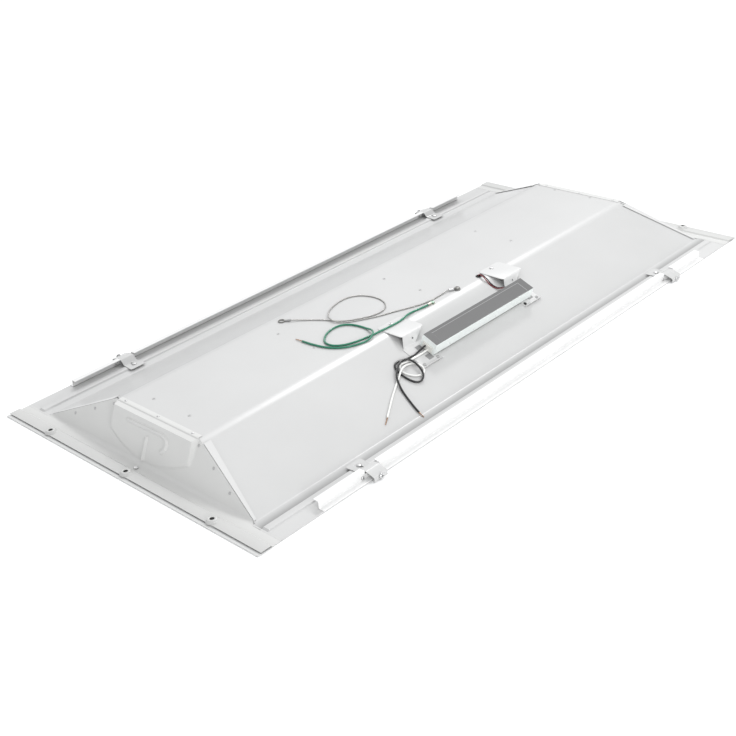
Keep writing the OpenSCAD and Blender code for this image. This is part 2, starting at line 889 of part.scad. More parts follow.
module led_chips() {
    chip = [3.5, 2.8, 0.7];
    pitch = (board_l - 20) / chips;
    color("gold") for (x = board_xs) {
        for (y = [board_mid_y - board_y, board_mid_y + board_y]) {
            for (i = [0:chips - 1]) {
                translate([x + (i - (chips - 1) / 2) * pitch - chip[0] / 2, y + 3, board_z - chip[2]])
                    cube(chip);
            }
        }
    }
}

module board_rivets() {
    head = 1;
    color("white") for (p = board_pins) {
        translate([p[0], p[1], board_z - head]) cylinder(d = 6, h = head);
        translate([p[0], p[1], board_z]) cylinder(d = board_pin_d, h = board_t + sheet);
    }
}

connector_x = 100;
connector_y = [board_mid_y - board_y - 6, board_mid_y + board_y - 1];

module board_connectors() {
    block = [10, 7, 4];
    color("ivory") for (y = connector_y) {
        translate([connector_x, y - block[1] / 2, board_z - block[2]]) cube(block);
    }
}

// Lens basket, its caps and the channels that hold it

lens_c = lens_z + lens_r;
channel_y = ridge_y - ridge_t - 1;
channel_t = 0.8;
channel_in = 6.5;
channel_drop = 5;
relief_w = 14;
flange_low = housing_h - sheet - channel_drop + channel_t + touch;
flange_top = flange_low + 1.5;

module lens_segment(r, x0, x1) {
    intersection() {
        translate([x0, 0, lens_c]) rotate([0, 90, 0]) cylinder(r = r, h = x1 - x0, $fn = 96);
        translate([x0, -lens_r, 0]) cube([x1 - x0, 2 * lens_r, flange_top]);
    }
}

module lens() {
    color("aliceblue") difference() {
        union() {
            lens_segment(lens_r, -lens_x, lens_x);
            translate([-lens_x, -channel_y + channel_t + touch, flange_low])
                cube([2 * lens_x, 2 * (channel_y - channel_t - touch), flange_top - flange_low]);
        }
        translate([-lens_x - cut, 0, lens_c]) rotate([0, 90, 0])
            cylinder(r = lens_r - lens_t, h = 2 * lens_x + 2 * cut, $fn = 96);
    }
}

module lens_cap(s) {
    color("white") scale([s, 1, 1]) lens_segment(lens_r, lens_x, lens_x + 2);
}

module lens_cap_left() {
    lens_cap(-1);
}

module lens_cap_right() {
    lens_cap(1);
}

module lens_channel() {
    z = housing_h - sheet;
    difference() {
        along_x(-lens_x + 1, lens_x - 1) polygon(bent([
            [channel_y - channel_in, z], [channel_y, z], [channel_y, z - channel_drop],
            [channel_y - channel_in, z - channel_drop]
        ], channel_t));
        // Relief for the wire bushing and the anchor screws, which come through the panel
        for (x = [bushing_pos[0], ground_anchor[0], cable_anchor[0]]) {
            translate([x - relief_w / 2, channel_y - channel_in - cut, z - 2 * cut])
                cube([relief_w, channel_in + cut - channel_t, 3 * cut]);
        }
    }
}

module lens_channel_near() {
    color("whitesmoke") mirror([0, 1, 0]) lens_channel();
}

module lens_channel_far() {
    color("whitesmoke") lens_channel();
}

// Small parts on the top panel

bushing_d = 8;

module wire_bushing() {
    color("black") translate([bushing_pos[0], bushing_pos[1], housing_h]) rotate_extrude() polygon([
        [3, -sheet - 1.2], [5.2, -sheet - 1.2], [5.2, -sheet], [bushing_d / 2, -sheet],
        [bushing_d / 2, 0], [5.4, 0], [5.2, 1.2], [3, 1.6]
    ]);
}

eye_r = 5;
ferrule_d = 4.2;
ferrule_l = 9;
ferrule_z = housing_h + ferrule_d / 2 + touch;
cable_z = housing_h + cable_d / 2 + touch;
free_eye = [-207, 79];
free_dir = unit([13, -16]);
fixed_dir = unit([-20, 9.5]);

module cable_eye(c) {
    translate([c[0], c[1], cable_z]) rotate_extrude() translate([eye_r, 0]) circle(d = cable_d, $fn = 24);
}

module ferrule(c, dir) {
    start = c + (eye_r + cable_d / 2 + touch) * dir;
    translate([start[0], start[1], ferrule_z]) rotate([0, 90, atan2(dir[1], dir[0])])
        cylinder(d = ferrule_d, h = ferrule_l);
}

module cable_eye_free() {
    color("silver") cable_eye(free_eye);
}

module cable_eye_fixed() {
    color("silver") cable_eye(cable_anchor);
}

module cable_ferrule_free() {
    color("silver") ferrule(free_eye, free_dir);
}

module cable_ferrule_fixed() {
    color("silver") ferrule(cable_anchor, fixed_dir);
}

module cable_screw() {
    color("silver") translate([cable_anchor[0], cable_anchor[1], housing_h]) {
        translate([0, 0, cable_d + 2 * touch]) pan_head(11, 2.2);
        translate([0, 0, -anchor_in]) cylinder(d = anchor_d, h = anchor_in + cable_d + 2 * touch);
    }
}

lug_r = 4.4;
lug_t = 0.8;
barrel_d = 4.2;
barrel_x = [-12, -4];
barrel_z = housing_h + barrel_d / 2 + touch;

module ground_lug() {
    color("goldenrod") translate([ground_anchor[0], ground_anchor[1], 0]) {
        difference() {
            union() {
                translate([0, 0, housing_h]) cylinder(r = lug_r, h = lug_t);
                translate([-6, -1.8, housing_h]) cube([4, 3.6, lug_t]);
                translate([barrel_x[0], 0, barrel_z]) rotate([0, 90, 0])
                    cylinder(d = barrel_d, h = barrel_x[1] - barrel_x[0]);
            }
            translate([0, 0, housing_h - cut]) cylinder(d = anchor_d, h = 8);
            translate([0, 0, housing_h + lug_t]) cylinder(r = 4.2, h = 8);
        }
    }
}

module ground_screw() {
    color("green") translate([ground_anchor[0], ground_anchor[1], housing_h + lug_t]) {
        cylinder(d = 7.6, h = 2.4, $fn = 6);
        translate([0, 0, -lug_t - anchor_in]) cylinder(d = anchor_d, h = lug_t + anchor_in);
    }
}

// Wires and cable

function spline_at(a, b, c, d, t) =
    0.5 * (2 * b + (c - a) * t + (2 * a - 5 * b + 4 * c - d) * t * t + (3 * b - a - 3 * c + d) * t * t * t);
function spline(p, n) =
    let (last = len(p) - 1)
    concat([
        for (i = [0:last - 1]) for (j = [0:n - 1])
            spline_at(p[max(i - 1, 0)], p[i], p[i + 1], p[min(i + 2, last)], j / n)
    ], [p[last]]);
function heading(p, i) = unit(p[min(i + 1, len(p) - 1)] - p[max(i - 1, 0)]);
function square_to(t, v) = unit(v - (v * t) * t);
function ring_sides(p, i, v) =
    i == len(p) ? [] : let (s = square_to(heading(p, i), v)) concat([s], ring_sides(p, i + 1, s));

// Round tube along the points p, with n sides
module tube(p, d, n = 8) {
    start = heading(p, 0);
    s = ring_sides(p, 0, abs(start[2]) > 0.8 ? [1, 0, 0] : [0, 0, 1]);
    last = len(p) - 1;
    rings = [
        for (i = [0:last]) for (k = [0:n - 1])
            p[i] + d / 2 * (cos(360 * k / n) * s[i] + sin(360 * k / n) * cross(heading(p, i), s[i]))
    ];
    walls = [
        for (i = [0:last - 1]) for (k = [0:n - 1])
            let (a = i * n + k, b = i * n + (k + 1) % n) each [[a, b + n, b], [a, a + n, b + n]]
    ];
    caps = [for (k = [1:n - 2]) each [[0, k, k + 1], [last * n, last * n + k + 1, last * n + k]]];
    polyhedron(rings, concat(walls, caps));
}

// Points on the top panel are [x, y, height of the middle above the panel]
function panel_pt(p) = [p[0], p[1], housing_h + p[2]];
low = wire_d / 2 + touch;
high = low + wire_d + 0.5;
cable_low = cable_d / 2 + touch;
cable_high = cable_low + cable_d + 0.4;
ferrule_h = ferrule_d / 2 + touch;

free_end = free_eye + (eye_r + cable_d / 2 + touch + ferrule_l) * free_dir;
fixed_end = cable_anchor + (eye_r + cable_d / 2 + touch + ferrule_l) * fixed_dir;
cable_pts = [
    [free_end[0], free_end[1], ferrule_h],
    [free_end[0] + 4 * free_dir[0], free_end[1] + 4 * free_dir[1], ferrule_h],
    [-180, 45, cable_low], [-171, 32, cable_low], [-164, 20, cable_low], [-160, 11, cable_low],
    [-155, 0, cable_low], [-148, -9, cable_low], [-139, -17, cable_low], [-129, -24, cable_low],
    [-118, -30, cable_low], [-106, -35, cable_low], [-92, -37, cable_low], [-79, -34, cable_low],
    [-68, -26, cable_low], [-60, -14, cable_low], [-56, 0, cable_low], [-56, 15, cable_low],
    [-60, 29, cable_low], [-68, 41, cable_low], [-80, 48, cable_low], [-95, 50, cable_low],
    [-111, 48, cable_low], [-127, 43, cable_low], [-140, 36, cable_low], [-150, 27, 2],
    [-157, 18, cable_high], [-160.6, 9, cable_high], [-160, 0, 2], [-155, -9, cable_low],
    [-147, -17.6, cable_low], [-137, -25, cable_low], [-126, -32, cable_low], [-114, -39, cable_low],
    [-101, -46, cable_low], [-85, -52, cable_low], [-69, -59, cable_low], [-53, -66, cable_low],
    [-38, -72, cable_low], [-23, -76, cable_low], [-8, -78, cable_low], [7, -78, cable_low],
    [20, -77.5, cable_low + 0.5],
    [fixed_end[0] + 3 * fixed_dir[0], fixed_end[1] + 3 * fixed_dir[1], ferrule_h],
    [fixed_end[0], fixed_end[1], ferrule_h]
];
ground_pts = [
    [ground_anchor[0] + barrel_x[0], ground_anchor[1], barrel_d / 2 + touch],
    [-34, ground_anchor[1], barrel_d / 2 + touch],
    [-39, -85.2, 2],
    [-46, -83.6, low], [-58, -81.6, low], [-71, -82, 2.2], [-82, -84.4, 3], [-94, -87, low + 1.1],
    [-107, -88, low + 1.1], [-121, -87.8, low + 1.1], [-134, -86.8, low + 1.1], [-144, -85.4, 2.4],
    [-155, -83.6, low], [-168, -81.6, low], [-181, -79.4, low], [-194, -76.2, low],
    [-206, -71.4, low], [-216, -64, low], [-222, -54, low], [-222.4, -43, low], [-217.6, -33, low],
    [-209, -25, low], [-199, -18.8, low], [-188, -14.8, low], [-177, -13.4, low], [-167, -15, low],
    [-159, -20, low], [-153.4, -28, low], [-150, -38.4, low], [-148.6, -50, low], [-149, -61, 2.2],
    [-151, -71, 4.2], [-155.4, -79.8, high], [-162, -86, high], [-171, -89.4, 3], [-183, -89.4, low],
    [-196, -86, low], [-208, -80.4, low], [-218.6, -72.4, low], [-227, -61.4, low],
    [-232.8, -48, low], [-236, -33, low], [-237.8, -18, low], [-238.4, -4, low]
];
// Points on the near slope are [x, down the slope, height of the middle above it]
black_pts = [
    [-118, 60, 9], [-121, 60, 9], [-126, 60, 7.2], [-132, 60.2, 5], [-139, 60.4, 3], [-147, 60.2, 2.8],
    [-154, 59.6, 2], [-161, 58.2, low], [-168, 56.2, low], [-176, 55.2, low], [-183, 57, low],
    [-188, 62, low], [-190.4, 69.6, low], [-191, 78, low], [-190, 87, low], [-187.4, 95.6, low],
    [-182.6, 102.6, low], [-175.4, 105.6, 2.4], [-168.4, 103.4, 4.2], [-163, 97.6, high],
    [-159.6, 90.4, high], [-157.4, 82.6, high], [-156.6, 74.4, high], [-158.4, 66.6, high],
    [-163.6, 61.2, high], [-170.6, 59.6, high], [-177.4, 60.8, high], [-184, 63.8, high],
    [-190, 67.6, high], [-196, 71.8, high], [-202, 77, high], [-207, 83.6, high],
    [-211, 91.6, 4], [-214.6, 101, 2.2], [-217.6, 110.6, low], [-220.4, 120.4, low],
    [-222.8, 130.2, low], [-225, 140, low], [-226.4, 149, low]
];
white_pts = [
    [-118, 65.5, 4.6], [-121, 65.5, 4.6], [-126, 65.4, 3.8], [-134, 65.2, 2.9], [-142, 65, 2.8],
    [-150, 64.8, 2.8],
    [-158, 64.6, low], [-166, 63.4, low], [-173.6, 62.6, low], [-180.4, 65, low], [-184.4, 71, low],
    [-184.4, 78.4, low], [-181, 85.4, low], [-175.4, 91.4, low], [-168.4, 95.4, low],
    [-160.4, 96.2, low], [-153.4, 92.6, low], [-150.4, 85.6, low], [-151.4, 78, low],
    [-156.4, 72.4, low], [-164, 69.6, 2], [-172, 69.6, 4.2], [-180, 70.8, high], [-188, 73.6, high],
    [-196, 78.4, 4.6], [-204, 83.2, 2.2], [-213, 88.4, low], [-222, 93.8, low], [-232, 99.8, low],
    [-243, 106.8, low], [-254, 114.2, low], [-265, 121.6, low], [-275, 128.4, low]
];
lead_low = lead_d / 2 + touch;
// The LED leads: under the panel, up through the bushing, over the ridge and to the driver
function lead_pts(dx) = concat(
    [for (p = [
        [104, connector_y[0] - 3.5, -4.6], [104, -46, -4.6], [104.6, -52, -4.6],
        [105.2, -62, -4.6], [105.6, -72, -4.6],
        [105.7, -78.6, -4.4], [105.7, -81.4, -3], [105.8, -82.8, -0.6], [105.8, -83.4, 2.4],
        [105.4, -86.4, 4.8], [104.2, -91.6, 5], [102.8, -96.6, 4.2]
    ]) panel_pt(p + [dx * 0.7, 0, 0])],
    [for (p = [
        [101, 6, 3], [100.4, 12, 1.6], [100.2, 18, lead_low], [100.6, 24, lead_low],
        [102, 30, 2], [104.4, 35.4, 5], [107, 40.6, 9], [108.8, 44.6, 11.6]
    ]) slope_pt(p + [dx, 0, 0])],
    [for (s = [driver_s - 2, driver_s]) slope_pt([lead_x + dx, s, 12])]
);

module safety_cable() {
    color("silver") tube([for (p = spline(cable_pts, 1)) panel_pt(p)], cable_d);
}

module ground_wire() {
    color("seagreen") tube([for (p = spline(ground_pts, 1)) panel_pt(p)], wire_d);
}

module line_wire_black() {
    color("black") tube([for (p = spline(black_pts, 2)) slope_pt(p)], wire_d);
}

module line_wire_white() {
    color("white") tube([for (p = spline(white_pts, 2)) slope_pt(p)], wire_d);
}

module led_lead_red() {
    color("red") tube(spline(lead_pts(0), 2), lead_d);
}

module led_lead_black() {
    color("black") tube(spline(lead_pts(3.4), 2), lead_d);
}

// Bare copper at the free ends of the ground and line wires, each going on as its wire does
ground_tip = [[-238.4, -4, low], [-238.6, 1, low], [-239, 11, low - 0.5]];
black_tip = [[-226.4, 149, low], [-227.2, 154, low], [-229, 161, 3.9]];
white_tip = [[-275, 128.4, low], [-280, 131.8, low], [-287, 136.2, low - 0.5]];

module wire_tips() {
    color("peru") {
        tube([for (p = ground_tip) panel_pt(p)], core_d);
        tube([for (p = black_tip) slope_pt(p)], core_d);
        tube([for (p = white_tip) slope_pt(p)], core_d);
    }
}

trim_frame();
reflector_body();
end_plate_left();
end_plate_right();
end_rivets_left();
end_rivets_right();
end_bolts();
rail_near();
rail_far();
rail_screws();
clip_near_left();
clip_near_right();
clip_far_left();
clip_far_right();
clip_screw_near_left();
clip_screw_near_right();
clip_screw_far_left();
clip_screw_far_right();
clip_rivets();
bracket_left();
bracket_right();
bracket_screws();
driver_base();
driver_cover();
driver_board();
driver_parts();
driver_bushing();
driver_screws();
led_board_near_left();
led_board_near_right();
led_board_far_left();
led_board_far_right();
led_chips();
board_rivets();
board_connectors();
lens();
lens_cap_left();
lens_cap_right();
lens_channel_near();
lens_channel_far();
wire_bushing();
safety_cable();
cable_eye_free();
cable_eye_fixed();
cable_ferrule_free();
cable_ferrule_fixed();
cable_screw();
ground_wire();
ground_lug();
ground_screw();
line_wire_black();
line_wire_white();
wire_tips();
led_lead_red();
led_lead_black();
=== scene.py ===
"""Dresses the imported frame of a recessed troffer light, laid with its light side down.

The frame gives every place and size. This file adds the formed sheet metal, the driver, the cords and the
finishes around it, and sets the camera, the lights and the floor.
"""

import json
import math

import bmesh
import bpy
from bpy.props import FloatProperty, FloatVectorProperty, PointerProperty
from mathutils import Matrix, Vector


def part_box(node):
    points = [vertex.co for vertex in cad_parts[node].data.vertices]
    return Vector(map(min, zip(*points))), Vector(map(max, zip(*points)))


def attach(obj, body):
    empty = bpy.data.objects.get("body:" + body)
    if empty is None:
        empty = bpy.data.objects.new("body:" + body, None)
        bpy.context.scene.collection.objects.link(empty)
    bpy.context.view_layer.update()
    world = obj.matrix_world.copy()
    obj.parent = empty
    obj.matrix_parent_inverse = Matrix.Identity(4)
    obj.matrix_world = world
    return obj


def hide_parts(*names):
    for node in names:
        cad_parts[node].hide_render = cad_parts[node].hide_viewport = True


bl_info = {
    "name": "Troffer Light",
    "version": (1, 0, 0),
    "blender": (4, 5, 0),
    "location": "View3D > Sidebar > Troffer",
    "description": "Sheet metal, driver, cords and finishes of a recessed troffer light",
    "category": "Object",
}

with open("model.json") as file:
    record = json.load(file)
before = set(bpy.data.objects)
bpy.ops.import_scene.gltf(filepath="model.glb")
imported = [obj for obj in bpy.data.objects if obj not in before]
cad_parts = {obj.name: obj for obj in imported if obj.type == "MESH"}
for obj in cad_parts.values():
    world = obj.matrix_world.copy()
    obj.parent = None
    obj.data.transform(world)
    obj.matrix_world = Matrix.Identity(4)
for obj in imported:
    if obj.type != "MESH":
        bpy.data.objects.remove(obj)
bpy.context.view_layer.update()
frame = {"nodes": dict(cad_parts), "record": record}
TAU = 2 * math.pi
QUARTER = math.pi / 2
HALF_TURN = Matrix.Rotation(math.pi, 4, "Z")
TINY = 1e-5


def span(node, axis):
    """Lowest and highest value of a CAD node along an axis."""
    low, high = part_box(node)
    return low[axis], high[axis]


# Places read from the frame
FRAME_HALF = Vector((span("trim_frame", 0)[1], span("trim_frame", 1)[1], 0))
TRIM_TOP = 0.5 * span("trim_frame", 2)[1]
PANEL_Z = span("reflector_body", 2)[1]
SHEET_EDGE_Y = span("reflector_body", 1)[1]
SEAM_X = span("reflector_body", 0)[1]
SHEET = span("end_plate_right", 2)[1] - PANEL_Z
FLANGE_Z = TRIM_TOP + SHEET
RAIL_X = span("rail_near", 0)[1]
LIP_Z = span("rail_near", 2)[1]
PAD_EDGE_X = FRAME_HALF.x - 0.006
LAP_X = span("end_plate_right", 0)[0]
LENS_LOW = span("lens", 2)[0]
LENS_HALF_X = span("lens", 0)[1]
RISE = PANEL_Z - FLANGE_Z
PLACES = {"near_left": (-1, -1), "near_right": (1, -1), "far_left": (-1, 1), "far_right": (1, 1)}

# Places that more than one piece shares
BUSHING = (0.107, -0.083)
CLIP_X = 0.384
CLIP_SCREW_Z = 0.006
CLIP_HOLE_R = 0.0023


class TrofferHousing(bpy.types.PropertyGroup):
    ridge_y: FloatProperty(
        name="Ridge", description="Half width of the flat top panel", default=0.0976, unit="LENGTH")
    side_flange: FloatProperty(
        name="Side flange", description="Width from a slope's foot to the frame's edge", default=0.0585,
        unit="LENGTH")
    end_flange: FloatProperty(
        name="End flange", description="Width from an end wall's foot to the frame's end", default=0.0455,
        unit="LENGTH")
    end_lean: FloatProperty(
        name="End lean", description="How far an end wall leans in from foot to top", default=0.036,
        unit="LENGTH")
    wall_proud: FloatProperty(
        name="Wall edge", description="How far an end wall stands proud of the slopes", default=0.0025,
        unit="LENGTH")
    rib_inset: FloatProperty(
        name="Rib inset", description="Distance of a stiffening rib from the frame's edge", default=0.0405,
        unit="LENGTH")
    rib_w: FloatProperty(
        name="Rib width", description="Width of a stiffening rib", default=0.014, unit="LENGTH")
    rib_h: FloatProperty(
        name="Rib height", description="Height of a stiffening rib", default=0.0024, unit="LENGTH")
    ridge_bend: FloatProperty(
        name="Ridge bend", description="Length of sheet that a ridge's round takes on each side",
        default=0.0095, unit="LENGTH")
    foot_bend: FloatProperty(
        name="Foot bend", description="Length of sheet that a slope's foot takes on each side",
        default=0.001, unit="LENGTH")


class TrofferCords(bpy.types.PropertyGroup):
    wire_d: FloatProperty(
        name="Wire", description="Diameter of the ground and line wires", default=0.0032, unit="LENGTH")
    core_d: FloatProperty(
        name="Core", description="Diameter of the bare copper in a wire", default=0.0016, unit="LENGTH")
    lead_d: FloatProperty(
        name="LED lead", description="Diameter of an LED lead", default=0.0018, unit="LENGTH")
    cable_d: FloatProperty(
        name="Cable", description="Diameter of the steel safety cable", default=0.002, unit="LENGTH")


class TrofferFinish(bpy.types.PropertyGroup):
    enamel: FloatVectorProperty(
        name="Enamel", description="Baked white enamel of the housing", subtype="COLOR", size=3,
        default=(0.515, 0.515, 0.512))
    # The end plates' white is a lighter copy of the housing's enamel: painted light, standing in for the
    # light that the end walls, turned from the key lamp, do not get.
    end_enamel: FloatVectorProperty(
        name="End enamel", description="Baked white enamel of the end plates", subtype="COLOR", size=3,
        default=(0.60, 0.60, 0.59))
    case: FloatVectorProperty(
        name="Driver cover", description="Grey enamel of the driver's cover", subtype="COLOR", size=3,
        default=(0.13, 0.13, 0.13))
    case_base: FloatVectorProperty(
        name="Driver base", description="Plated steel of the driver's base", subtype="COLOR", size=3,
        default=(0.62, 0.65, 0.64))
    green: FloatVectorProperty(
        name="Ground wire", description="Insulation of the ground wire", subtype="COLOR", size=3,
        default=(0.010, 0.17, 0.095))
    roughness: FloatProperty(
        name="Enamel roughness", description="Roughness of the white enamel", default=0.3,
        min=0.05, max=1.0, subtype="FACTOR")


class TrofferStage(bpy.types.PropertyGroup):
    azimuth: FloatProperty(
        name="Azimuth", description="Camera's turn about the fixture", default=math.radians(-44.58337),
        subtype="ANGLE")
    elevation: FloatProperty(
        name="Elevation", description="Camera's height as an angle", default=math.radians(28.49744),
        subtype="ANGLE")
    roll: FloatProperty(
        name="Roll", description="Camera's turn about its own axis", default=math.radians(-5.3777),
        subtype="ANGLE")
    distance: FloatProperty(
        name="Distance", description="Camera's distance from its target", default=1.93083, unit="LENGTH")
    lens: FloatProperty(
        name="Lens", description="Focal length on a 36 mm sensor", default=58.69, unit="CAMERA")
    shift: FloatProperty(
        name="Shift", description="Sideways shift of the camera's frame", default=-0.0272)
    floor: FloatVectorProperty(
        name="Floor", description="Colour of the floor", subtype="COLOR", size=3, default=(0.96, 0.96, 0.96))


def sizes():
    return bpy.context.scene.troffer_housing


def cords():
    return bpy.context.scene.troffer_cords


def finish():
    return bpy.context.scene.troffer_finish


# Finishes, each kept under the name that it was asked for
MATERIALS = {}


def shader_of(mat):
    return mat.node_tree.nodes["Principled BSDF"]


def link(mat, output, socket):
    mat.node_tree.links.new(output, socket)


def new_material(name, colour, roughness, metallic=0.0):
    """A material with its shader set, ready for a pattern."""
    mat = bpy.data.materials.new(name)
    mat.use_nodes = True
    inputs = shader_of(mat).inputs
    inputs["Base Color"].default_value = (*colour, 1)
    inputs["Roughness"].default_value = roughness
    inputs["Metallic"].default_value = metallic
    MATERIALS[name] = mat
    return mat


def object_noise(mat, scale, detail=4.0, roughness=0.55, stretch=(1, 1, 1)):
    """Noise in the object's own coordinates. Returns its value."""
    nodes = mat.node_tree.nodes
    where = nodes.new("ShaderNodeTexCoord")
    turn = nodes.new("ShaderNodeMapping")
    turn.inputs["Scale"].default_value = stretch
    noise = nodes.new("ShaderNodeTexNoise")
    for socket, value in (("Scale", scale), ("Detail", detail), ("Roughness", roughness)):
        noise.inputs[socket].default_value = value
    link(mat, where.outputs["Object"], turn.inputs["Vector"])
    link(mat, turn.outputs["Vector"], noise.inputs["Vector"])
    return noise.outputs["Fac"]


def calculate(mat, operation, *values):
    """A Math node fed by sockets and plain numbers. Returns its result."""
    node = mat.node_tree.nodes.new("ShaderNodeMath")
    node.operation = operation
    for socket, value in zip(node.inputs, values):
        if isinstance(value, (int, float)):
            socket.default_value = value
        else:
            link(mat, value, socket)
    return node.outputs["Value"]


def spread(mat, value, low, high, start=0.35, end=0.65):
    """Spreads a value that runs from start to end between low and high. Returns the result."""
    ramp = mat.node_tree.nodes.new("ShaderNodeMapRange")
    for socket, number in (("From Min", start), ("From Max", end), ("To Min", low), ("To Max", high)):
        ramp.inputs[socket].default_value = number
    link(mat, value, ramp.inputs["Value"])
    return ramp.outputs["Result"]


def tint(mat, value, colour_a, colour_b):
    """Mixes two colours by a value into the base colour."""
    mix = mat.node_tree.nodes.new("ShaderNodeMix")
    mix.data_type = "RGBA"
    mix.inputs["A"].default_value = (*colour_a, 1)
    mix.inputs["B"].default_value = (*colour_b, 1)
    link(mat, value, mix.inputs["Factor"])
    link(mat, mix.outputs["Result"], shader_of(mat).inputs["Base Color"])


def roughen(mat, value, low, high, start=0.35, end=0.65):
    """Lets a value drive the roughness between low and high."""
    link(mat, spread(mat, value, low, high, start, end), shader_of(mat).inputs["Roughness"])


def bump(mat, heights):
    """Chains bumps, given as (value, distance, strength), into the shader's normal."""
    last = None
    for value, distance, strength in heights:
        node = mat.node_tree.nodes.new("ShaderNodeBump")
        node.inputs["Distance"].default_value = distance
        node.inputs["Strength"].default_value = strength
        link(mat, value, node.inputs["Height"])
        if last:
            link(mat, last.outputs["Normal"], node.inputs["Normal"])
        last = node
    link(mat, last.outputs["Normal"], shader_of(mat).inputs["Normal"])


def shade(colour, factor):
    return tuple(min(1.0, c * factor) for c in colour)


def enamel(name, colour, roughness):
    """Baked enamel on sheet steel: a fine peel, faint unevenness and a few rubbed places."""
    mat = new_material(name, colour, roughness)
    uneven = object_noise(mat, 7, detail=3)
    tint(mat, spread(mat, uneven, 0, 1, 0.3, 0.7), shade(colour, 0.975), shade(colour, 1.015))
    rub = object_noise(mat, 60, detail=6, roughness=0.7)
    roughen(mat, rub, roughness - 0.02, roughness + 0.03, 0.2, 0.8)
    shader_of(mat).inputs["Specular IOR Level"].default_value = 0.35
    peel = object_noise(mat, 900, detail=2)
    waves = object_noise(mat, 26, detail=2)
    bump(mat, [(waves, 0.0006, 0.05), (peel, 0.00004, 0.08)])
    return mat


def paint_shade_along(mat, axis, side, start, stop, least):
    """Paints shade into a finish: darkens its base colour evenly from start to stop, measured from the middle
    towards one side.
    """
    nodes = mat.node_tree.nodes
    where = nodes.new("ShaderNodeTexCoord")
    parts = nodes.new("ShaderNodeSeparateXYZ")
    link(mat, where.outputs["Object"], parts.inputs["Vector"])
    across = calculate(mat, "MULTIPLY", parts.outputs[axis], side)
    gate = calculate(mat, "LESS_THAN" if stop > start else "GREATER_THAN", across, stop)
    amount = calculate(mat, "MULTIPLY", spread(mat, across, 0, 1 - least, start, stop), gate)
    darker = nodes.new("ShaderNodeMix")
    darker.data_type = "RGBA"
    darker.inputs["B"].default_value = (0, 0, 0, 1)
    base = shader_of(mat).inputs["Base Color"]
    link(mat, base.links[0].from_socket, darker.inputs["A"])
    link(mat, amount, darker.inputs["Factor"])
    link(mat, darker.outputs["Result"], base)


def plated(name, colour, roughness, grain=(1, 1, 1)):
    """Plated or bare metal with a drawn grain."""
    mat = new_material(name, colour, roughness, metallic=1.0)
    lines = object_noise(mat, 400, detail=5, stretch=grain)
    roughen(mat, lines, roughness - 0.08, roughness + 0.14)
    spots = object_noise(mat, 150, detail=4)
    tint(mat, spread(mat, spots, 0, 1), shade(colour, 0.86), shade(colour, 1.06))
    bump(mat, [(lines, 0.00004, 0.25)])
    return mat


def moulded(name, colour, roughness, grain=1200, mottle=0.04):
    """Moulded plastic or rubber with a fine texture."""
    mat = new_material(name, colour, roughness)
    skin = object_noise(mat, grain, detail=3)
    bump(mat, [(skin, 0.00005, 0.3)])
    wide = object_noise(mat, 90, detail=3)
    tint(mat, spread(mat, wide, 0, 1), shade(colour, 1 - mottle), shade(colour, 1 + mottle))
    roughen(mat, skin, roughness - 0.05, roughness + 0.08)
    return mat


def insulation(name, colour):
    """Extruded wire insulation, glossy and faintly mottled."""
    mat = moulded(name, colour, 0.3, grain=700, mottle=0.08)
    shader_of(mat).inputs["Coat Weight"].default_value = 0.25
    return mat


def milky(name, colour):
    """Frosted acrylic of the lens, with fine prisms along it."""
    mat = new_material(name, colour, 0.42)
    inputs = shader_of(mat).inputs
    inputs["Transmission Weight"].default_value = 0.2
    inputs["IOR"].default_value = 1.49
    inputs["Subsurface Weight"].default_value = 0.3
    inputs["Subsurface Radius"].default_value = (0.004, 0.004, 0.004)
    frost = object_noise(mat, 1500, detail=3)
    prisms = object_noise(mat, 300, detail=1, stretch=(0.01, 1, 1))
    bump(mat, [(prisms, 0.0002, 0.3), (frost, 0.00005, 0.4)])
    return mat


def stranded(name, colour, pitch, starts, roughness):
    """Stranded metal: slanting strands from the tube's own UV map, where V runs along it; the grooves between
    the strands are darkened as painted shade.
    """
    mat = new_material(name, colour, roughness, metallic=1.0)
    nodes = mat.node_tree.nodes
    where = nodes.new("ShaderNodeUVMap")
    where.uv_map = "along"
    turn = nodes.new("ShaderNodeMapping")
    turn.inputs["Scale"].default_value = (starts, starts / pitch, 1)
    parts = nodes.new("ShaderNodeSeparateXYZ")
    link(mat, where.outputs["UV"], turn.inputs["Vector"])
    link(mat, turn.outputs["Vector"], parts.inputs["Vector"])
    slant = calculate(mat, "ADD", parts.outputs["X"], parts.outputs["Y"])
    wave = calculate(mat, "SINE", calculate(mat, "MULTIPLY", slant, TAU))
    height = spread(mat, wave, 0, 1, -1, 1)
    # Painted shade: the grooves between the strands are darker.
    tint(mat, height, shade(colour, 0.45), shade(colour, 1.1))
    bump(mat, [(height, 0.00025, 0.8)])
    return mat


def board_mask(name, colour):
    """Solder mask over copper tracks."""
    mat = new_material(name, colour, 0.35)
    tracks = object_noise(mat, 120, detail=0, stretch=(0.2, 1, 1))
    tint(mat, spread(mat, tracks, 0, 1, 0.48, 0.52), shade(colour, 0.93), colour)
    bump(mat, [(tracks, 0.00003, 0.3)])
    return mat


# Whites, as the housing's enamel times a factor. The rail, hem and bracket whites are lighter copies of the
# one enamel: painted light, standing in for the light that falls on those parts.
WHITES = {
    "trim_white": 1.08, "housing_white": 1, "hem_white": 1.13, "rail_white": 1.4, "bracket_white": 1.12,
    "rivet_white": 0.85,
}
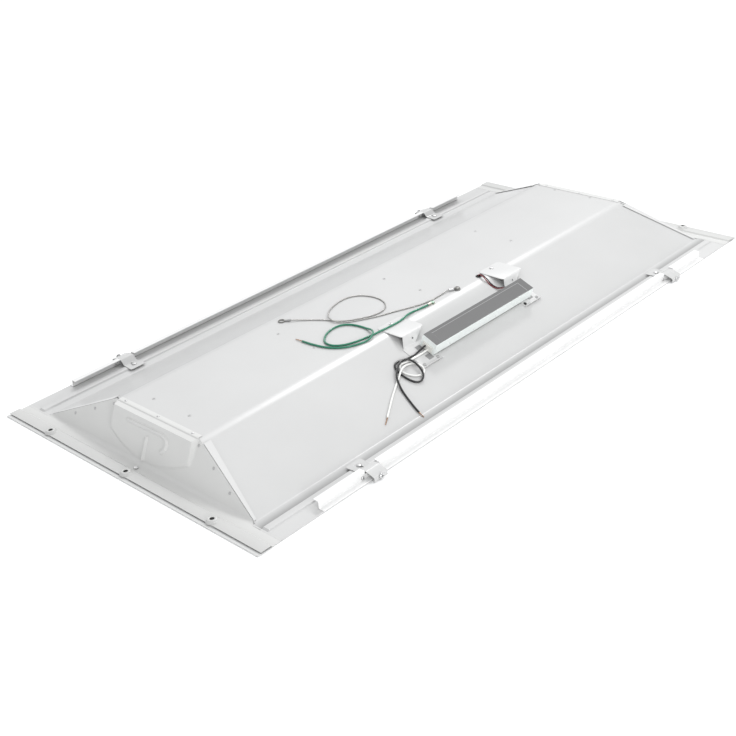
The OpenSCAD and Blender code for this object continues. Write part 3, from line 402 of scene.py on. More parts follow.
# The finishes that follow take a name, a colour and, but for the insulation and the boards, a roughness
PLATINGS = (
    ("bright_screw", (0.62, 0.62, 0.62), 0.24),
    ("rivet_steel", (0.5, 0.5, 0.5), 0.34),
    ("dark_screw", (0.06, 0.06, 0.06), 0.36),
    ("eye_steel", (0.24, 0.235, 0.225), 0.4),
    ("brass_lug", (0.55, 0.53, 0.47), 0.3),
    ("green_screw", (0.30, 0.40, 0.33), 0.3),
)
MOULDINGS = (
    ("board_parts", (0.42, 0.25, 0.05), 0.45),
    ("nylon", (0.72, 0.72, 0.68), 0.45),
    ("led_chip", (0.85, 0.62, 0.08), 0.3),
    ("lens_cap", (0.82, 0.82, 0.81), 0.4),
    ("rubber_black", (0.012, 0.012, 0.012), 0.55),
    ("pad_grey", (0.27, 0.27, 0.27), 0.7),
)
INSULATIONS = (
    ("wire_black", (0.006, 0.006, 0.007)),
    ("wire_white", (0.78, 0.78, 0.76)),
    ("wire_red", (0.17, 0.01, 0.016)),
)
BOARDS = (("circuit_board", (0.02, 0.13, 0.05)), ("led_board", (0.82, 0.82, 0.82)))


def make_materials():
    """Makes each finish once; most have the name of a slot in the record."""
    f = finish()
    for name, factor in WHITES.items():
        enamel(name, shade(f.enamel, factor), f.roughness)
    enamel("end_white", tuple(f.end_enamel), f.roughness)
    enamel("clip_steel", shade(f.enamel, 0.98), f.roughness - 0.04)
    enamel("driver_cover", tuple(f.case), 0.42)
    # Painted highlight for the lines round the driver cover's field: the cover's grey, brightened.
    enamel("driver_line", shade(f.case, 2.5), 0.4)
    # The cover's sides: the base's plated colour, their own, lightened as painted light for sides that lie in
    # shade.
    enamel("driver_side", shade(f.case_base, 1.35), 0.4)
    plated("driver_base", tuple(f.case_base), 0.38, grain=(0.05, 1, 1))
    insulation("wire_green", tuple(f.green))
    stranded("cable_steel", (0.6, 0.59, 0.57), pitch=0.006, starts=6, roughness=0.32)
    stranded("copper", (0.62, 0.36, 0.22), pitch=0.004, starts=7, roughness=0.28)
    milky("lens", (0.86, 0.86, 0.85))
    tables = ((plated, PLATINGS), (moulded, MOULDINGS), (insulation, INSULATIONS), (board_mask, BOARDS))
    for recipe, rows in tables:
        for row in rows:
            recipe(*row)
    paint_sheet_shade()


def paint_sheet_shade():
    """Painted shade: darkens the base colour in the near trough, on the far slope by its ridge and out on the
    end flanges.
    """
    rib = rib_y()
    housing, ends = MATERIALS["housing_white"], MATERIALS["end_white"]
    # Painted shade in the near trough at the slopes' feet, darkening towards the rib.
    paint_shade_along(housing, "Y", side=-1, start=rib - 0.018, stop=rib + 0.0012, least=0.47)
    # Painted shade on the far slope, darkening towards its ridge.
    paint_shade_along(housing, "Y", side=1, start=0.213, stop=sizes().ridge_y + 0.003, least=0.8)
    # Painted shade out on both end flanges, darkening towards the frame's ends.
    for side in (-1, 1):
        paint_shade_along(ends, "X", side, start=FRAME_HALF.x - 0.056, stop=FRAME_HALF.x + 0.01, least=0.74)


def paint(obj, slot, other=None):
    """Gives a piece the finish of its record slot, or another."""
    obj.data.materials.clear()
    obj.data.materials.append(MATERIALS[other or slot])


# Modelling by hand


def select_nothing():
    if bpy.context.object and bpy.context.object.mode != "OBJECT":
        bpy.ops.object.mode_set(mode="OBJECT")
    bpy.ops.object.select_all(action="DESELECT")


def only(obj):
    select_nothing()
    obj.select_set(True)
    bpy.context.view_layer.objects.active = obj


def named(name):
    """Names the object that a primitive operator has just made."""
    obj = bpy.context.object
    obj.name = name
    obj.data.name = name
    return obj


def settle(obj):
    """Puts the object's place, turn and scale in its mesh."""
    only(obj)
    bpy.ops.object.transform_apply(location=True, rotation=True, scale=True)


def place(obj, matrix):
    """Moves a piece made about the origin to where it belongs."""
    obj.matrix_world = matrix
    settle(obj)


def edit(obj, mode="FACE"):
    only(obj)
    bpy.ops.object.mode_set(mode="EDIT")
    bpy.ops.mesh.select_mode(type=mode)


def done():
    bpy.ops.object.mode_set(mode="OBJECT")


def select_items(obj, kind, test):
    """In edit mode, selects only the faces, edges or verts that pass the test."""
    mesh = bmesh.from_edit_mesh(obj.data)
    for item in (*mesh.faces, *mesh.edges, *mesh.verts):
        item.select_set(False)
    for item in getattr(mesh, kind):
        if test(item):
            item.select_set(True)
    mesh.select_flush_mode()
    bmesh.update_edit_mesh(obj.data)


def select_corners(obj, test):
    """Selects the corners whose place passes the test."""
    select_items(obj, "verts", lambda v: test(v.co))


def select_edges(obj, test):
    """Selects the edges whose two end points pass the test."""
    select_items(obj, "edges", lambda e: test(e.verts[0].co) and test(e.verts[1].co))


def select_faces(obj, test):
    """Selects the faces that pass the test of their middle and normal."""
    select_items(obj, "faces", lambda f: test(f.calc_center_median(), f.normal))


def split(where, normal, **clear):
    """In edit mode, splits all faces along a plane."""
    bpy.ops.mesh.select_all(action="SELECT")
    bpy.ops.mesh.bisect(plane_co=where, plane_no=normal, **clear)


def slice_away(obj, test, where, normal):
    """In edit mode, splits the faces that pass a test along a plane and deletes those beyond it."""
    where, normal = Vector(where), Vector(normal).normalized()
    select_faces(obj, test)
    bpy.ops.mesh.bisect(plane_co=where, plane_no=normal)
    select_faces(obj, lambda c, n: test(c, n) and (c - where).dot(normal) > 1e-6)
    bpy.ops.mesh.delete(type="FACE")


def face_outwards():
    """In edit mode, turns every face outwards."""
    bpy.ops.mesh.select_all(action="SELECT")
    bpy.ops.mesh.normals_make_consistent(inside=False)


def modify(obj, kind, **values):
    """Adds a modifier and applies it."""
    only(obj)
    mod = obj.modifiers.new(kind.lower(), kind)
    for key, value in values.items():
        setattr(mod, key, value)
    bpy.ops.object.modifier_apply(modifier=mod.name)


def thicken(obj, thickness):
    """Gives a sheet its thickness, away from its outer face."""
    modify(obj, "SOLIDIFY", thickness=thickness, offset=-1, use_even_offset=True)


def smooth(obj, degrees=38):
    only(obj)
    bpy.ops.object.shade_smooth_by_angle(angle=math.radians(degrees))


def soften(obj, width, degrees=38, segments=2):
    """Rounds the sharp edges a little and smooths the shading."""
    modify(obj, "BEVEL", width=width, segments=segments, limit_method="ANGLE",
           angle_limit=math.radians(degrees), use_clamp_overlap=True)
    smooth(obj, 60)
    modify(obj, "WEIGHTED_NORMAL", weight=80, keep_sharp=True)


def cut_with(obj, cutters):
    """Cuts pieces out of another and removes them."""
    for cutter in cutters:
        modify(obj, "BOOLEAN", operation="DIFFERENCE", object=cutter, solver="EXACT")
        bpy.data.objects.remove(cutter)


def join(name, pieces):
    select_nothing()
    for piece in pieces:
        piece.select_set(True)
    bpy.context.view_layer.objects.active = pieces[0]
    if len(pieces) > 1:
        bpy.ops.object.join()
    return named(name)


def drum(name, where, radius, depth, sides=32):
    select_nothing()
    bpy.ops.mesh.primitive_cylinder_add(vertices=sides, radius=radius, depth=depth, location=where)
    obj = named(name)
    settle(obj)
    return obj


def block(name, corner, other_corner):
    """A block between two corners, given in any order."""
    low = Vector(map(min, corner, other_corner))
    high = Vector(map(max, corner, other_corner))
    select_nothing()
    bpy.ops.mesh.primitive_cube_add(size=1, location=(low + high) / 2)
    obj = named(name)
    obj.scale = high - low
    settle(obj)
    return obj


def cross_hole(where, radius, depth, turn=QUARTER, sides=32):
    """A round cutter whose axis is turned about X, by default to lie across the fixture."""
    hole = drum("hole", (0, 0, 0), radius, depth, sides)
    place(hole, Matrix.Translation(where) @ Matrix.Rotation(turn, 4, "X"))
    return hole


def folded_sheet(name, path, x0, x1):
    """A sheet that runs from x0 to x1, drawn out edge by edge along a path of (y, z) points."""
    (ya, za), (yb, zb) = path[0], path[1]
    select_nothing()
    bpy.ops.mesh.primitive_plane_add(size=1, location=((x0 + x1) / 2, (ya + yb) / 2, (za + zb) / 2))
    obj = named(name)
    obj.scale = (x1 - x0, math.hypot(yb - ya, zb - za), 1)
    obj.rotation_euler = (math.atan2(zb - za, yb - ya), 0, 0)
    settle(obj)
    edit(obj, "EDGE")
    select_edges(obj, lambda p: (p - Vector((p.x, yb, zb))).length < 1e-6)
    for (y0, z0), (y1, z1) in zip(path[1:], path[2:]):
        bpy.ops.mesh.extrude_edges_move(TRANSFORM_OT_translate={"value": (0, y1 - y0, z1 - z0)})
    done()
    return obj


def round_folds(obj, folds):
    """Rounds the folds of a sheet, given as ((y, z), length of the round on each side, segments)."""
    for (y, z), width, segments in folds:
        edit(obj, "EDGE")
        select_edges(obj, lambda p: abs(p.y - y) < 2e-5 and abs(p.z - z) < 2e-5)
        bpy.ops.mesh.bevel(offset=width, offset_type="OFFSET", segments=segments, affect="EDGES")
        done()


def mirror_path(path):
    return [(-y, z) for y, z in reversed(path)]


def copy_of(node, name):
    """A copy of a CAD node's mesh, merged to clean faces."""
    select_nothing()
    source = frame["nodes"][node]
    obj = bpy.data.objects.new(name, source.data.copy())
    bpy.context.scene.collection.objects.link(obj)
    obj.data.name = name
    edit(obj, "VERT")
    bpy.ops.mesh.select_all(action="SELECT")
    bpy.ops.mesh.remove_doubles(threshold=2e-6)
    bpy.ops.mesh.dissolve_limited(angle_limit=math.radians(0.5))
    done()
    return obj


def dress(node, slot, width, body="root", degrees=35):
    """A CAD node's shape with its edges rounded, standing for the node."""
    obj = copy_of(node, node + "_formed")
    soften(obj, width, degrees)
    paint(obj, slot)
    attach(obj, body)
    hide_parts(node)
    return obj


def ride_root(obj, slot, *nodes, other=None):
    paint(obj, slot, other)
    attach(obj, "root")
    if nodes:
        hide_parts(*nodes)


def turned(name, profile, sides=32, ring=False):
    """A turned piece about the Z axis, drawn out ring by ring along a profile of (radius, z) points."""
    radius, z = profile[0]
    select_nothing()
    bpy.ops.mesh.primitive_circle_add(vertices=sides, radius=radius, fill_type="NOTHING" if ring else "NGON",
                                      location=(0, 0, z))
    obj = named(name)
    settle(obj)
    edit(obj, "EDGE" if ring else "FACE")
    bpy.ops.mesh.select_all(action="SELECT")
    for next_radius, next_z in profile[1:] + (profile[:1] if ring else []):
        bpy.ops.mesh.extrude_region_move(TRANSFORM_OT_translate={"value": (0, 0, next_z - z)})
        factor = next_radius / radius
        bpy.ops.transform.resize(value=(factor, factor, 1), center_override=(0, 0, next_z))
        radius, z = next_radius, next_z
    bpy.ops.mesh.select_all(action="SELECT")
    bpy.ops.mesh.remove_doubles(threshold=1e-7)
    face_outwards()
    done()
    smooth(obj, 40)
    return obj


def repeat(name, pattern, matrices):
    """Copies a pattern piece to each place, joins the copies and removes the pattern."""
    copies = []
    for matrix in matrices:
        twin = pattern.copy()
        twin.data = pattern.data.copy()
        bpy.context.scene.collection.objects.link(twin)
        twin.matrix_world = matrix
        copies.append(twin)
    bpy.data.objects.remove(pattern)
    obj = join(name, copies)
    settle(obj)
    return obj


# A pan head's outline, as shares of its radius and its height
PAN_HEAD = ((0.97, 0), (1, 0.1), (0.98, 0.45), (0.88, 0.75), (0.66, 0.93), (0.4, 1))
# Screws, as radius and height of the head, radius and length of the shank, and the thread's pitch
RAIL_SCREW = (0.003, 0.002, 0.0015, 0.004, 0.0005)
CLIP_SCREW = (0.0045, 0.0024, 0.002, 0.022, 0.0007)
BRACKET_SCREW = (0.0035, 0.002, 0.0017, 0.0036, 0.0008)
DRIVER_SCREW = (0.0028, 0.0018, 0.0015, 0.001, 0)
ANCHOR_SCREW = (0.0048, 0.0022, 0.0017, 0.0048, 0.0008)
# A sheet rivet's outline, as shares of its diameter and its head's height, from the seat up
RIVET_DOME = ((0.5, 0), (0.95, 0), (0.94, 0.3), (0.82, 0.62), (0.6, 0.88), (0.3, 1))


def screw(head_r, head_h, shank_r, length, pitch):
    """A pan-head screw with a cross recess and, where it has a pitch, its thread; the seat is at z = 0."""
    profile = [(shank_r * 0.6, -length), (shank_r * 0.85, -length + 0.4 * shank_r)]
    turns = int((length - shank_r) / pitch) if pitch else 0
    for k in range(turns):
        z = -length + 0.5 * shank_r + k * pitch
        profile += [(shank_r, z + 0.25 * pitch), (shank_r * 0.84, z + 0.75 * pitch)]
    profile += [(shank_r, -0.0002), (shank_r, 0)]
    profile += [(head_r * r, head_h * h) for r, h in PAN_HEAD]
    obj = turned("screw", profile, sides=28)
    arm, half, depth = 0.52 * head_r, 0.12 * head_r, 0.45 * head_h
    cut_with(obj, [block("recess", (-x, -y, depth), (x, y, 2 * head_h))
                   for x, y in ((arm, half), (half, arm))])
    smooth(obj, 40)
    return obj


def screws(name, kind, matrices):
    """A set of like screws, each at its place."""
    return repeat(name, screw(*kind), matrices)


def rivet(d, grip):
    """A domed rivet; the seat of its head is at z = 0."""
    head = 0.36 * d
    tail = [(0.675 * d, -grip - head), (0.675 * d, -grip), (0.5 * d, -grip)]
    return turned("rivet", tail + [(r * d, h * head) for r, h in RIVET_DOME], sides=20)


# The slopes' and the walls' own places


def foot_y():
    """Where a slope meets its side flange."""
    return FRAME_HALF.y - sizes().side_flange


def rib_y():
    """Where a stiffening rib starts."""
    return FRAME_HALF.y - sizes().rib_inset


def foot_x():
    """Where an end wall meets its end flange."""
    return FRAME_HALF.x - sizes().end_flange


def slope_run():
    """How far a slope reaches across the fixture."""
    return foot_y() - sizes().ridge_y


def slope_angle():
    return math.atan2(RISE, slope_run())


def wall_edge_y():
    """Where an end wall's standing edge passes the foot of a slope."""
    return foot_y() + sizes().wall_proud / math.cos(slope_angle())


def wall_angle():
    return math.atan2(RISE, sizes().end_lean)


def wall_length():
    return math.hypot(sizes().end_lean, RISE)


def wall_matrix():
    """Local frame on the right end wall: -X up the wall, Z out of it."""
    return Matrix.Translation((foot_x(), 0, FLANGE_Z)) @ Matrix.Rotation(wall_angle(), 4, "Y")


def slope_matrix():
    """Local frame on the near slope: X along, -Y down the slope, Z out of it."""
    return Matrix.Translation((0, -sizes().ridge_y, PANEL_Z)) @ Matrix.Rotation(slope_angle(), 4, "X")


def on_slope(x, down, out):
    return slope_matrix() @ Vector((x, -down, out))


def on_panel(x, y, out):
    return Vector((x, y, PANEL_Z + out))


# Cords. The points are those of the solids that they stand for, in metres.

# Clearance to what a cord lies on
TOUCH = 0.0001
# Heights of a wire's middle: on the sheet, over another wire, on the left bracket and in the lug
LOW = 0.0016 + TOUCH
HIGH = LOW + 0.0032 + 0.0005
ON_BRACKET = LOW + 0.0011
LUG_LOW = 0.0021 + TOUCH
# The same for the cable and an LED lead
CABLE_LOW = 0.001 + TOUCH
CABLE_HIGH = CABLE_LOW + 0.002 + 0.0004
LEAD_LOW = 0.0009 + TOUCH
FERRULE_R = 0.0021
FERRULE_H = FERRULE_R + TOUCH
FERRULE_L = 0.009
EYE_R = 0.005
EYE_TO_FERRULE = EYE_R + 0.001 + TOUCH
FREE_EYE = Vector((-0.207, 0.079))
FIXED_EYE = Vector((0.046, -0.0855))
FREE_DIR = Vector((13, -16)).normalized()
FIXED_DIR = Vector((-20, 9.5)).normalized()
FREE_END = FREE_EYE + (EYE_TO_FERRULE + FERRULE_L) * FREE_DIR
FIXED_END = FIXED_EYE + (EYE_TO_FERRULE + FERRULE_L) * FIXED_DIR
GROUND_X = -0.018
GROUND_Y = -0.086


def laid(height, points):
    """Fills in the height of the points that lie on the sheet."""
    return [p if len(p) == 3 else (*p, height) for p in points]


CABLE_ROUTE = laid(CABLE_LOW, [
    (*FREE_END, FERRULE_H), (*(FREE_END + 0.004 * FREE_DIR), FERRULE_H), (-0.18, 0.045), (-0.171, 0.032),
    (-0.164, 0.02), (-0.16, 0.011), (-0.155, 0), (-0.148, -0.009), (-0.139, -0.017), (-0.129, -0.024),
    (-0.118, -0.03), (-0.106, -0.035), (-0.092, -0.037), (-0.079, -0.034), (-0.068, -0.026),
    (-0.06, -0.014), (-0.056, 0), (-0.056, 0.015), (-0.06, 0.029), (-0.068, 0.041), (-0.08, 0.048),
    (-0.095, 0.05), (-0.111, 0.048), (-0.127, 0.043), (-0.14, 0.036), (-0.15, 0.027, 0.002),
    (-0.157, 0.018, CABLE_HIGH), (-0.1606, 0.009, CABLE_HIGH), (-0.16, 0, 0.002), (-0.155, -0.009),
    (-0.147, -0.0176), (-0.137, -0.025), (-0.126, -0.032), (-0.114, -0.039), (-0.101, -0.046),
    (-0.085, -0.052), (-0.069, -0.059), (-0.053, -0.066), (-0.038, -0.072), (-0.023, -0.076),
    (-0.008, -0.078), (0.007, -0.078), (0.02, -0.0775, CABLE_LOW + 0.0005),
    (*(FIXED_END + 0.003 * FIXED_DIR), FERRULE_H), (*FIXED_END, FERRULE_H),
])
GROUND_ROUTE = laid(LOW, [
    (GROUND_X - 0.012, GROUND_Y, LUG_LOW), (-0.034, GROUND_Y, LUG_LOW), (-0.039, -0.0852, 0.002),
    (-0.046, -0.0836), (-0.058, -0.0816), (-0.071, -0.082, 0.0022), (-0.082, -0.0844, 0.003),
    (-0.094, -0.087, ON_BRACKET), (-0.107, -0.088, ON_BRACKET), (-0.121, -0.0878, ON_BRACKET),
    (-0.134, -0.0868, ON_BRACKET), (-0.144, -0.0854, 0.0024), (-0.155, -0.0836), (-0.168, -0.0816),
    (-0.181, -0.0794), (-0.194, -0.0762), (-0.206, -0.0714), (-0.216, -0.064), (-0.222, -0.054),
    (-0.2224, -0.043), (-0.2176, -0.033), (-0.209, -0.025), (-0.199, -0.0188), (-0.188, -0.0148),
    (-0.177, -0.0134), (-0.167, -0.015), (-0.159, -0.02), (-0.1534, -0.028), (-0.15, -0.0384),
    (-0.1486, -0.05), (-0.149, -0.061, 0.0022), (-0.151, -0.071, 0.0042), (-0.1554, -0.0798, HIGH),
    (-0.162, -0.086, HIGH), (-0.171, -0.0894, 0.003), (-0.183, -0.0894), (-0.196, -0.086),
    (-0.208, -0.0804), (-0.2186, -0.0724), (-0.227, -0.0614), (-0.2328, -0.048), (-0.236, -0.033),
    (-0.2378, -0.018), (-0.2384, -0.004),
])
# The two line wires, as (along, down the slope, out of it)
BLACK_ROUTE = laid(LOW, [
    (-0.118, 0.06, 0.009), (-0.121, 0.06, 0.009), (-0.126, 0.06, 0.0072), (-0.132, 0.0602, 0.005),
    (-0.139, 0.0604, 0.003), (-0.147, 0.0602, 0.0028), (-0.154, 0.0596, 0.002), (-0.161, 0.0582),
    (-0.168, 0.0562), (-0.176, 0.0552), (-0.183, 0.057), (-0.188, 0.062), (-0.1904, 0.0696),
    (-0.191, 0.078), (-0.19, 0.087), (-0.1874, 0.0956), (-0.1826, 0.1026), (-0.1754, 0.1056, 0.0024),
    (-0.1684, 0.1034, 0.0042), (-0.163, 0.0976, HIGH), (-0.1596, 0.0904, HIGH), (-0.1574, 0.0826, HIGH),
    (-0.1566, 0.0744, HIGH), (-0.1584, 0.0666, HIGH), (-0.1636, 0.0612, HIGH), (-0.1706, 0.0596, HIGH),
    (-0.1774, 0.0608, HIGH), (-0.184, 0.0638, HIGH), (-0.19, 0.0676, HIGH), (-0.196, 0.0718, HIGH),
    (-0.202, 0.077, HIGH), (-0.207, 0.0836, HIGH), (-0.211, 0.0916, 0.004), (-0.2146, 0.101, 0.0022),
    (-0.2176, 0.1106), (-0.2204, 0.1204), (-0.2228, 0.1302), (-0.225, 0.14), (-0.2264, 0.149),
])
WHITE_ROUTE = laid(LOW, [
    (-0.118, 0.0655, 0.0046), (-0.121, 0.0655, 0.0046), (-0.126, 0.0654, 0.0038), (-0.134, 0.0652, 0.0029),
    (-0.142, 0.065, 0.0028), (-0.15, 0.0648, 0.0028), (-0.158, 0.0646), (-0.166, 0.0634), (-0.1736, 0.0626),
    (-0.1804, 0.065), (-0.1844, 0.071), (-0.1844, 0.0784), (-0.181, 0.0854), (-0.1754, 0.0914),
    (-0.1684, 0.0954), (-0.1604, 0.0962), (-0.1534, 0.0926), (-0.1504, 0.0856), (-0.1514, 0.078),
    (-0.1564, 0.0724), (-0.164, 0.0696, 0.002), (-0.172, 0.0696, 0.0042), (-0.18, 0.0708, HIGH),
    (-0.188, 0.0736, HIGH), (-0.196, 0.0784, 0.0046), (-0.204, 0.0832, 0.0022), (-0.213, 0.0884),
    (-0.222, 0.0938), (-0.232, 0.0998), (-0.243, 0.1068), (-0.254, 0.1142), (-0.265, 0.1216),
    (-0.275, 0.1284),
])
GROUND_TIP = [(-0.2384, -0.004, LOW), (-0.2386, 0.001, LOW), (-0.239, 0.011, LOW - 0.0005)]
BLACK_TIP = [(-0.2264, 0.149, LOW), (-0.2272, 0.154, LOW), (-0.229, 0.161, 0.0039)]
WHITE_TIP = [(-0.275, 0.1284, LOW), (-0.28, 0.1318, LOW), (-0.287, 0.1362, LOW - 0.0005)]
# The LED leads: under the panel, up through the bushing, and then down the slope to the driver
LEAD_UNDER = [
    (0.104, -0.0435, -0.0046), (0.104, -0.046, -0.0046), (0.1046, -0.052, -0.0046),
    (0.1052, -0.062, -0.0046), (0.1056, -0.072, -0.0046), (0.1057, -0.0786, -0.0044),
    (0.1057, -0.0814, -0.003), (0.1058, -0.0828, -0.0006), (0.1058, -0.0834, 0.0024),
    (0.1054, -0.0864, 0.0048), (0.1042, -0.0916, 0.005), (0.1028, -0.0966, 0.0042),
]
LEAD_OVER = laid(LEAD_LOW, [
    (0.101, 0.006, 0.003), (0.1004, 0.012, 0.0016), (0.1002, 0.018), (0.1006, 0.024), (0.102, 0.03, 0.002),
    (0.1044, 0.0354, 0.005), (0.107, 0.0406, 0.009), (0.1088, 0.0446, 0.0116), (0.109, 0.0468, 0.012),
    (0.109, 0.0488, 0.012),
])
# How far apart the two leads lie over the slope, and which share of that under the panel
LEAD_GAP = 0.0034
UNDER_SHARE = 0.7


def through(points, steps):
    """A smooth curve through the points, with steps places between each two."""
    points = [Vector(p) for p in points]
    last = len(points) - 1
    out = []
    for i in range(last):
        a, b, c, d = points[max(i - 1, 0)], points[i], points[i + 1], points[min(i + 2, last)]
        for j in range(steps):
            t = j / steps
            out.append(0.5 * (2 * b + (c - a) * t + (2 * a - 5 * b + 4 * c - d) * t * t
                              + (3 * b - a - 3 * c + d) * t * t * t))
    return out + [points[last]]


def swept(name, path, radius, sides=12, taper=None):
    """A closed tube along the path, with a UV map called along: U round it, V in metres along it."""
    mesh = bpy.data.meshes.new(name)
    shape = bmesh.new()
    uv = shape.loops.layers.uv.new("along")
    rings, far, side = [], [0.0], None
    for i, p in enumerate(path):
        heading = (path[min(i + 1, len(path) - 1)] - path[max(i - 1, 0)]).normalized()
        if side is None:
            side = heading.orthogonal().normalized()
        side = (side - side.dot(heading) * heading).normalized()
        other = heading.cross(side)
        r = radius * (taper(i / (len(path) - 1)) if taper else 1)
        angles = [TAU * k / sides for k in range(sides)]
        rings.append([shape.verts.new(p + r * (math.cos(a) * side + math.sin(a) * other)) for a in angles])
        if i:
            far.append(far[-1] + (p - path[i - 1]).length)
    for i in range(len(path) - 1):
        for k in range(sides):
            n = (k + 1) % sides
            face = shape.faces.new((rings[i][k], rings[i][n], rings[i + 1][n], rings[i + 1][k]))
            face.smooth = True
            corners = [(k, i), (k + 1, i), (k + 1, i + 1), (k, i + 1)]
            for loop, (u, v) in zip(face.loops, corners):
                loop[uv].uv = (u / sides, far[v])
    shape.faces.new(reversed(rings[0]))
    shape.faces.new(rings[-1])
    shape.to_mesh(mesh)
    shape.free()
    obj = bpy.data.objects.new(name, mesh)
    bpy.context.scene.collection.objects.link(obj)
    return obj


CAMERA_AIM = Vector((-0.14503, -0.09615, 0))


class TROFFER_OT_camera(bpy.types.Operator):
    """Set the camera to the photograph's viewing angle"""
    bl_idname = "troffer.camera"
    bl_label = "Camera"

    def execute(self, context):
        stage = context.scene.troffer_stage
        az, el, roll = stage.azimuth, stage.elevation, stage.roll
        back = Vector((math.sin(az) * math.cos(el), -math.cos(az) * math.cos(el), math.sin(el)))
        right = Vector((math.cos(az), math.sin(az), 0))
        up = back.cross(right)
        turned_right = right * math.cos(roll) + up * math.sin(roll)
        turned_up = -right * math.sin(roll) + up * math.cos(roll)
        data = bpy.data.cameras.new("camera")
        data.lens = stage.lens
        data.sensor_width = 36
        data.sensor_fit = "HORIZONTAL"
        data.shift_x = stage.shift
        data.clip_start = 0.02
        data.clip_end = 60
        camera = bpy.data.objects.new("camera", data)
        context.scene.collection.objects.link(camera)
        turn = Matrix((turned_right, turned_up, back)).transposed().to_4x4()
        camera.matrix_world = Matrix.Translation(CAMERA_AIM + back * stage.distance) @ turn
        context.scene.camera = camera
        return {"FINISHED"}


# The three wires, as (piece, node, route, its frame, finish, length)
WIRES = (
    ("ground_wire_insulation", "ground_wire", GROUND_ROUTE, on_panel, "wire_green", 0.4998),
    ("black_wire_insulation", "line_wire_black", BLACK_ROUTE, on_slope, "wire_black", 0.3017),
    ("white_wire_insulation", "line_wire_white", WHITE_ROUTE, on_slope, "wire_white", 0.2778),
)
# Their bare tips, in the same order
TIPS = (
    ("ground_tip", GROUND_TIP, on_panel),
    ("black_tip", BLACK_TIP, on_slope),
    ("white_tip", WHITE_TIP, on_slope),
)
# The crimps of a ferrule: how far each is from the middle, its half width, and what it leaves of the width
CRIMP_Z = 0.0019
CRIMP_HALF = 0.0011
CRIMP_SHARE = 0.82


class TROFFER_OT_cords(bpy.types.Operator):
    """Lay the safety cable, the ground wire and the two line wires"""
    bl_idname = "troffer.cords"
    bl_label = "Cords"

    def execute(self, context):
        c = cords()
        tips = self.tips(c.core_d)
        cable, path = self.lay("safety_cable_strands", "safety_cable", CABLE_ROUTE, on_panel, c.cable_d,
                               "cable_steel", 16)
        self.cable_ends()
        for (name, node, route, to_world, slot, length), tip in zip(WIRES, tips):
            wire, path = self.lay(name, node, route, to_world, c.wire_d, slot, 20)
        return {"FINISHED"}

    def lay(self, name, node, route, to_world, diameter, slot, sides):
        """Sweeps a cord along its route, in place of its node. Returns it with the curve that it follows."""
        path = through([to_world(*p) for p in route], 4)
        obj = swept(name, path, diameter / 2, sides)
        ride_root(obj, slot, node)
        return obj, path

    def tips(self, core):
        """Twisted bare copper at the three wires' ends."""
        out = []
        for name, route, to_world in TIPS:
            path = through([to_world(*p) for p in route], 8)
            obj = swept(name + "_strands", path, core / 2, sides=14, taper=lambda t: 1 - 0.35 * t ** 4)
            ride_root(obj, "copper")
            out.append(obj)
        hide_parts("wire_tips")
        return out

    def cable_ends(self):
        """The eyes and crimped ferrules at the cable's two ends."""
        pieces = []
        for tag, eye, heading in (("free", FREE_EYE, FREE_DIR), ("fixed", FIXED_EYE, FIXED_DIR)):
            select_nothing()
            bpy.ops.mesh.primitive_torus_add(
                major_radius=EYE_R, minor_radius=cords().cable_d / 2, major_segments=48, minor_segments=14,
                location=(eye.x, eye.y, PANEL_Z + CABLE_LOW))
            loop = named("cable_eye_" + tag + "_loop")
            settle(loop)
            smooth(loop, 60)
            ride_root(loop, "cable_steel", "cable_eye_" + tag, other="eye_steel")
            middle = eye + (EYE_TO_FERRULE + FERRULE_L / 2) * heading
            heading_angle = math.atan2(heading.y, heading.x)
            turn = Matrix.Rotation(heading_angle, 4, "Z") @ Matrix.Rotation(QUARTER, 4, "Y")
            ferrule = self.ferrule("cable_ferrule_" + tag + "_sleeve")
            place(ferrule, Matrix.Translation((middle.x, middle.y, PANEL_Z + FERRULE_H)) @ turn)
            smooth(ferrule, 50)
            ride_root(ferrule, "rivet_steel", "cable_ferrule_" + tag)
            pieces += [loop, ferrule]
        return pieces

    def ferrule(self, name):
        """A sleeve with two crimps pressed in it."""
        obj = drum(name, (0, 0, 0), FERRULE_R, FERRULE_L, sides=28)
        edit(obj)
        for middle in (-CRIMP_Z, CRIMP_Z):
            for z in (middle - CRIMP_HALF, middle, middle + CRIMP_HALF):
                split((0, 0, z), (0, 0, 1))
        done()
        edit(obj, "EDGE")
        for z in (-CRIMP_Z, CRIMP_Z):
            select_edges(obj, lambda p: abs(p.z - z) < 1e-6)
            bpy.ops.transform.resize(value=(CRIMP_SHARE, CRIMP_SHARE, 1), center_override=(0, 0, z))
        done()
        soften(obj, 0.0003, degrees=50)
        return obj


class TROFFER_OT_leads(bpy.types.Operator):
    """Run the two LED leads from the boards through the bushing to the driver"""
    bl_idname = "troffer.leads"
    bl_label = "LED leads"

    def execute(self, context):
        for name, slot, gap in (("led_lead_red", "wire_red", 0), ("led_lead_black", "wire_black", LEAD_GAP)):
            under = [on_panel(x + UNDER_SHARE * gap, y, z) for x, y, z in LEAD_UNDER]
            over = [on_slope(x + gap, y, z) for x, y, z in LEAD_OVER]
            obj = swept(name + "_insulation", through(under + over, 6), cords().lead_d / 2, sides=14)
            ride_root(obj, slot, name)
        return {"FINISHED"}


# How far a rib's end runs down, from and to these distances from the seam
RIB_STOP = (0.006, 0.003)
# The hems along the end walls: their width at the top and at the foot, and how far down they start and stop
HEM_WIDE = 0.011
HEM_NARROW = 0.006
HEM_START = 0.010
HEM_STOP = 0.002
# The gap between a hem and its wall; behind its rim its underside is lifted by so many sheets
HEM_GAP = 0.001
HEM_RIM = 0.004
HEM_LIFT = 1.4
# Holes in the top panel, and the relief slots at its corners
BUSHING_HOLE_R = 0.004
ANCHOR_HOLE_R = 0.0017
RELIEF_X = 0.5205
RELIEF_HALF = Vector((0.0009, 0.0045, 0.005))
RELIEF_DROP = 0.0015
RELIEF_TURN = 0.25


